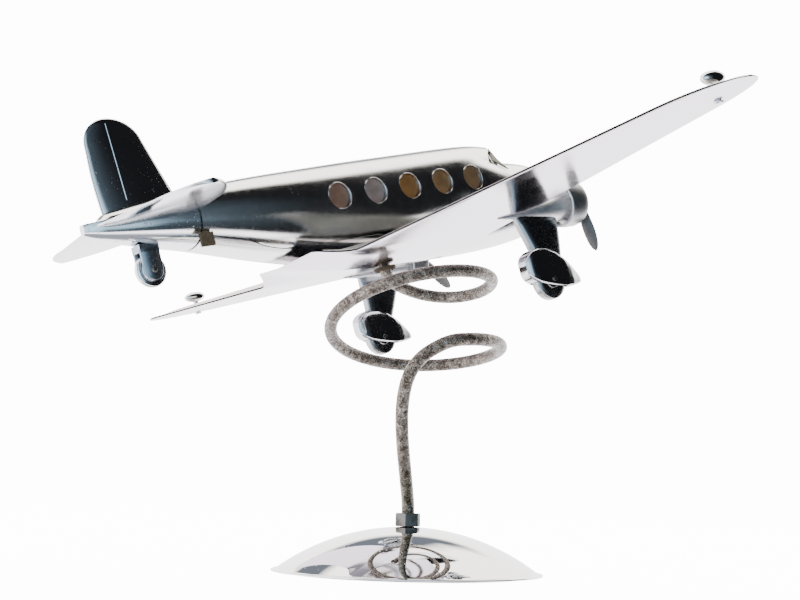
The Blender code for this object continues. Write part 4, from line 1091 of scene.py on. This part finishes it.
def stage_mesh(name, points, faces, material):
    mesh = bpy.data.meshes.new(name)
    mesh.from_pydata(points, [], faces)
    mesh.shade_smooth()
    mesh.materials.append(material)
    obj = bpy.data.objects.new(name, mesh)
    bpy.context.scene.collection.objects.link(obj)
    return obj


def build_floor():
    """A pale round floor that curves up into a backdrop all round."""
    material, tree, shader = new_material("pale_floor")
    shader.inputs["Roughness"].default_value = 0.9
    shader.inputs["Specular IOR Level"].default_value = 0.1
    shade = mix_colour(noise(stretched(tree), 2.2, 2.0), (0.93, 0.925, 0.92), (0.96, 0.96, 0.96))
    feed(shader.inputs["Base Color"], shade)
    shader.inputs["Emission Color"].default_value = (1, 1, 1, 1)
    shader.inputs["Emission Strength"].default_value = 13.0
    sides, level, flat, curve = 128, -0.0001, 2.2, 1.2
    profile = [(r, level) for r in (0.0, 0.4, 0.8, 1.4, flat)]
    profile += [(flat + curve * sin(a), curve - curve * cos(a)) for a in between(0.1, pi / 2, 16)]
    profile += [(flat + curve, 2 * curve)]
    points = [(r * cos(a), r * sin(a), z) for r, z in profile for a in around(sides)]
    floor = stage_mesh("floor", points, grid(len(profile), sides), material)
    floor.visible_diffuse = False
    floor.visible_glossy = False


def build_room():
    """The room that the metal mirrors. Only glossy rays see it, so it shows only as a reflection."""
    material = bpy.data.materials.new("room")
    material.use_nodes = True
    tree = material.node_tree
    tree.nodes.clear()
    output = tree.nodes.new("ShaderNodeOutputMaterial")
    glow = tree.nodes.new("ShaderNodeEmission")
    feed(output.inputs["Surface"], glow.outputs[0])
    place = tree.nodes.new("ShaderNodeTexCoord")
    direction = node(tree, "ShaderNodeVectorMath", operation="NORMALIZE")
    feed(direction.inputs[0], place.outputs["Object"])
    parts = tree.nodes.new("ShaderNodeSeparateXYZ")
    feed(parts.inputs[0], direction.outputs[0])
    x, y, z = parts.outputs
    wobble = plus(times(noise(direction.outputs[0], 2.4, 3.0), 0.3), -0.15)

    # The starboard side is dark, down to a little below the horizon and to a soft edge straight ahead
    low = ramp(plus(times(z, 0.5), 0.5), ((0.19, 0.0), (0.24, 1.0)))
    dark = times(ramp(calc("SUBTRACT", wobble, x), ((0.04, 0.0), (0.2, 1.0))), low)
    # A dark strip ahead, between the backdrop and the lamp above it
    strip = ramp(z, ((0.48, 0.0), (0.55, 1.0), (0.72, 1.0), (0.79, 0.0)))
    strip = times(strip, ramp(plus(x, wobble), ((0.38, 0.0), (0.5, 1.0))))
    # The window behind the viewer: blue-white daylight
    behind = plus(times(x, -0.77), times(y, 0.64))
    window = times(ramp(plus(behind, wobble), ((0.4, 0.0), (0.7, 0.06), (0.98, 1.0))), low)
    # The shaded paper straight below
    below = ramp(times(z, -1.0), ((0.72, 0.0), (0.86, 1.0)))
    shade = mix_colour(ramp(z, ((0.0, 0.0), (0.9, 1.0))), (0.95, 0.92, 0.96), (1.0, 0.97, 0.88))
    shade = mix_colour(dark, shade, (0.003, 0.003, 0.0035))
    shade = mix_colour(strip, shade, (0.06, 0.066, 0.08))
    shade = mix_colour(window, shade, (0.30, 0.42, 0.52))
    shade = mix_colour(below, shade, (0.13, 0.135, 0.15))
    feed(glow.inputs["Color"], shade)
    glow.inputs["Strength"].default_value = 4.5

    radius, rows, sides, pole = 2.0, 48, 96, pi / 2 - 0.001
    points = [(radius * cos(e) * cos(a), radius * cos(e) * sin(a), radius * sin(e))
              for e in between(-pole, pole, rows) for a in around(sides)]
    room = stage_mesh("room", points, grid(rows, sides), material)
    room.visible_camera = False
    room.visible_diffuse = False
    room.visible_shadow = False
    room.visible_transmission = False


def build_light():
    """An even white sky and two soft lamps that no metal mirrors."""
    world = bpy.data.worlds.new("studio")
    world.use_nodes = True
    background = world.node_tree.nodes["Background"]
    background.inputs["Color"].default_value = (1.0, 1.0, 1.0, 1)
    background.inputs["Strength"].default_value = 0.9
    bpy.context.scene.world = world
    lamps = (("top", (0.3, -0.4, 1.3), 1.2, 9.0), ("side", (-0.9, 1.0, 0.9), 0.8, 3.0))
    for name, place, size, power in lamps:
        data = bpy.data.lights.new(name, "AREA")
        data.size = size
        data.energy = power
        light = bpy.data.objects.new(name, data)
        bpy.context.scene.collection.objects.link(light)
        light.location = place
        light.rotation_euler = (Vector((0, 0, 0.1)) - Vector(place)).to_track_quat("-Z", "Y").to_euler()
        light.visible_glossy = False


build_camera()
build_floor()
build_room()
build_light()
build_base()
build_nut()
build_rod()
build_fuselage()
build_wing()
build_tail()
build_tail_wheel()
for side, sign in SIDES:
    build_leg(side, sign)
    build_spat(side, sign)
    build_engine(side, sign)
    build_propeller(side, sign)
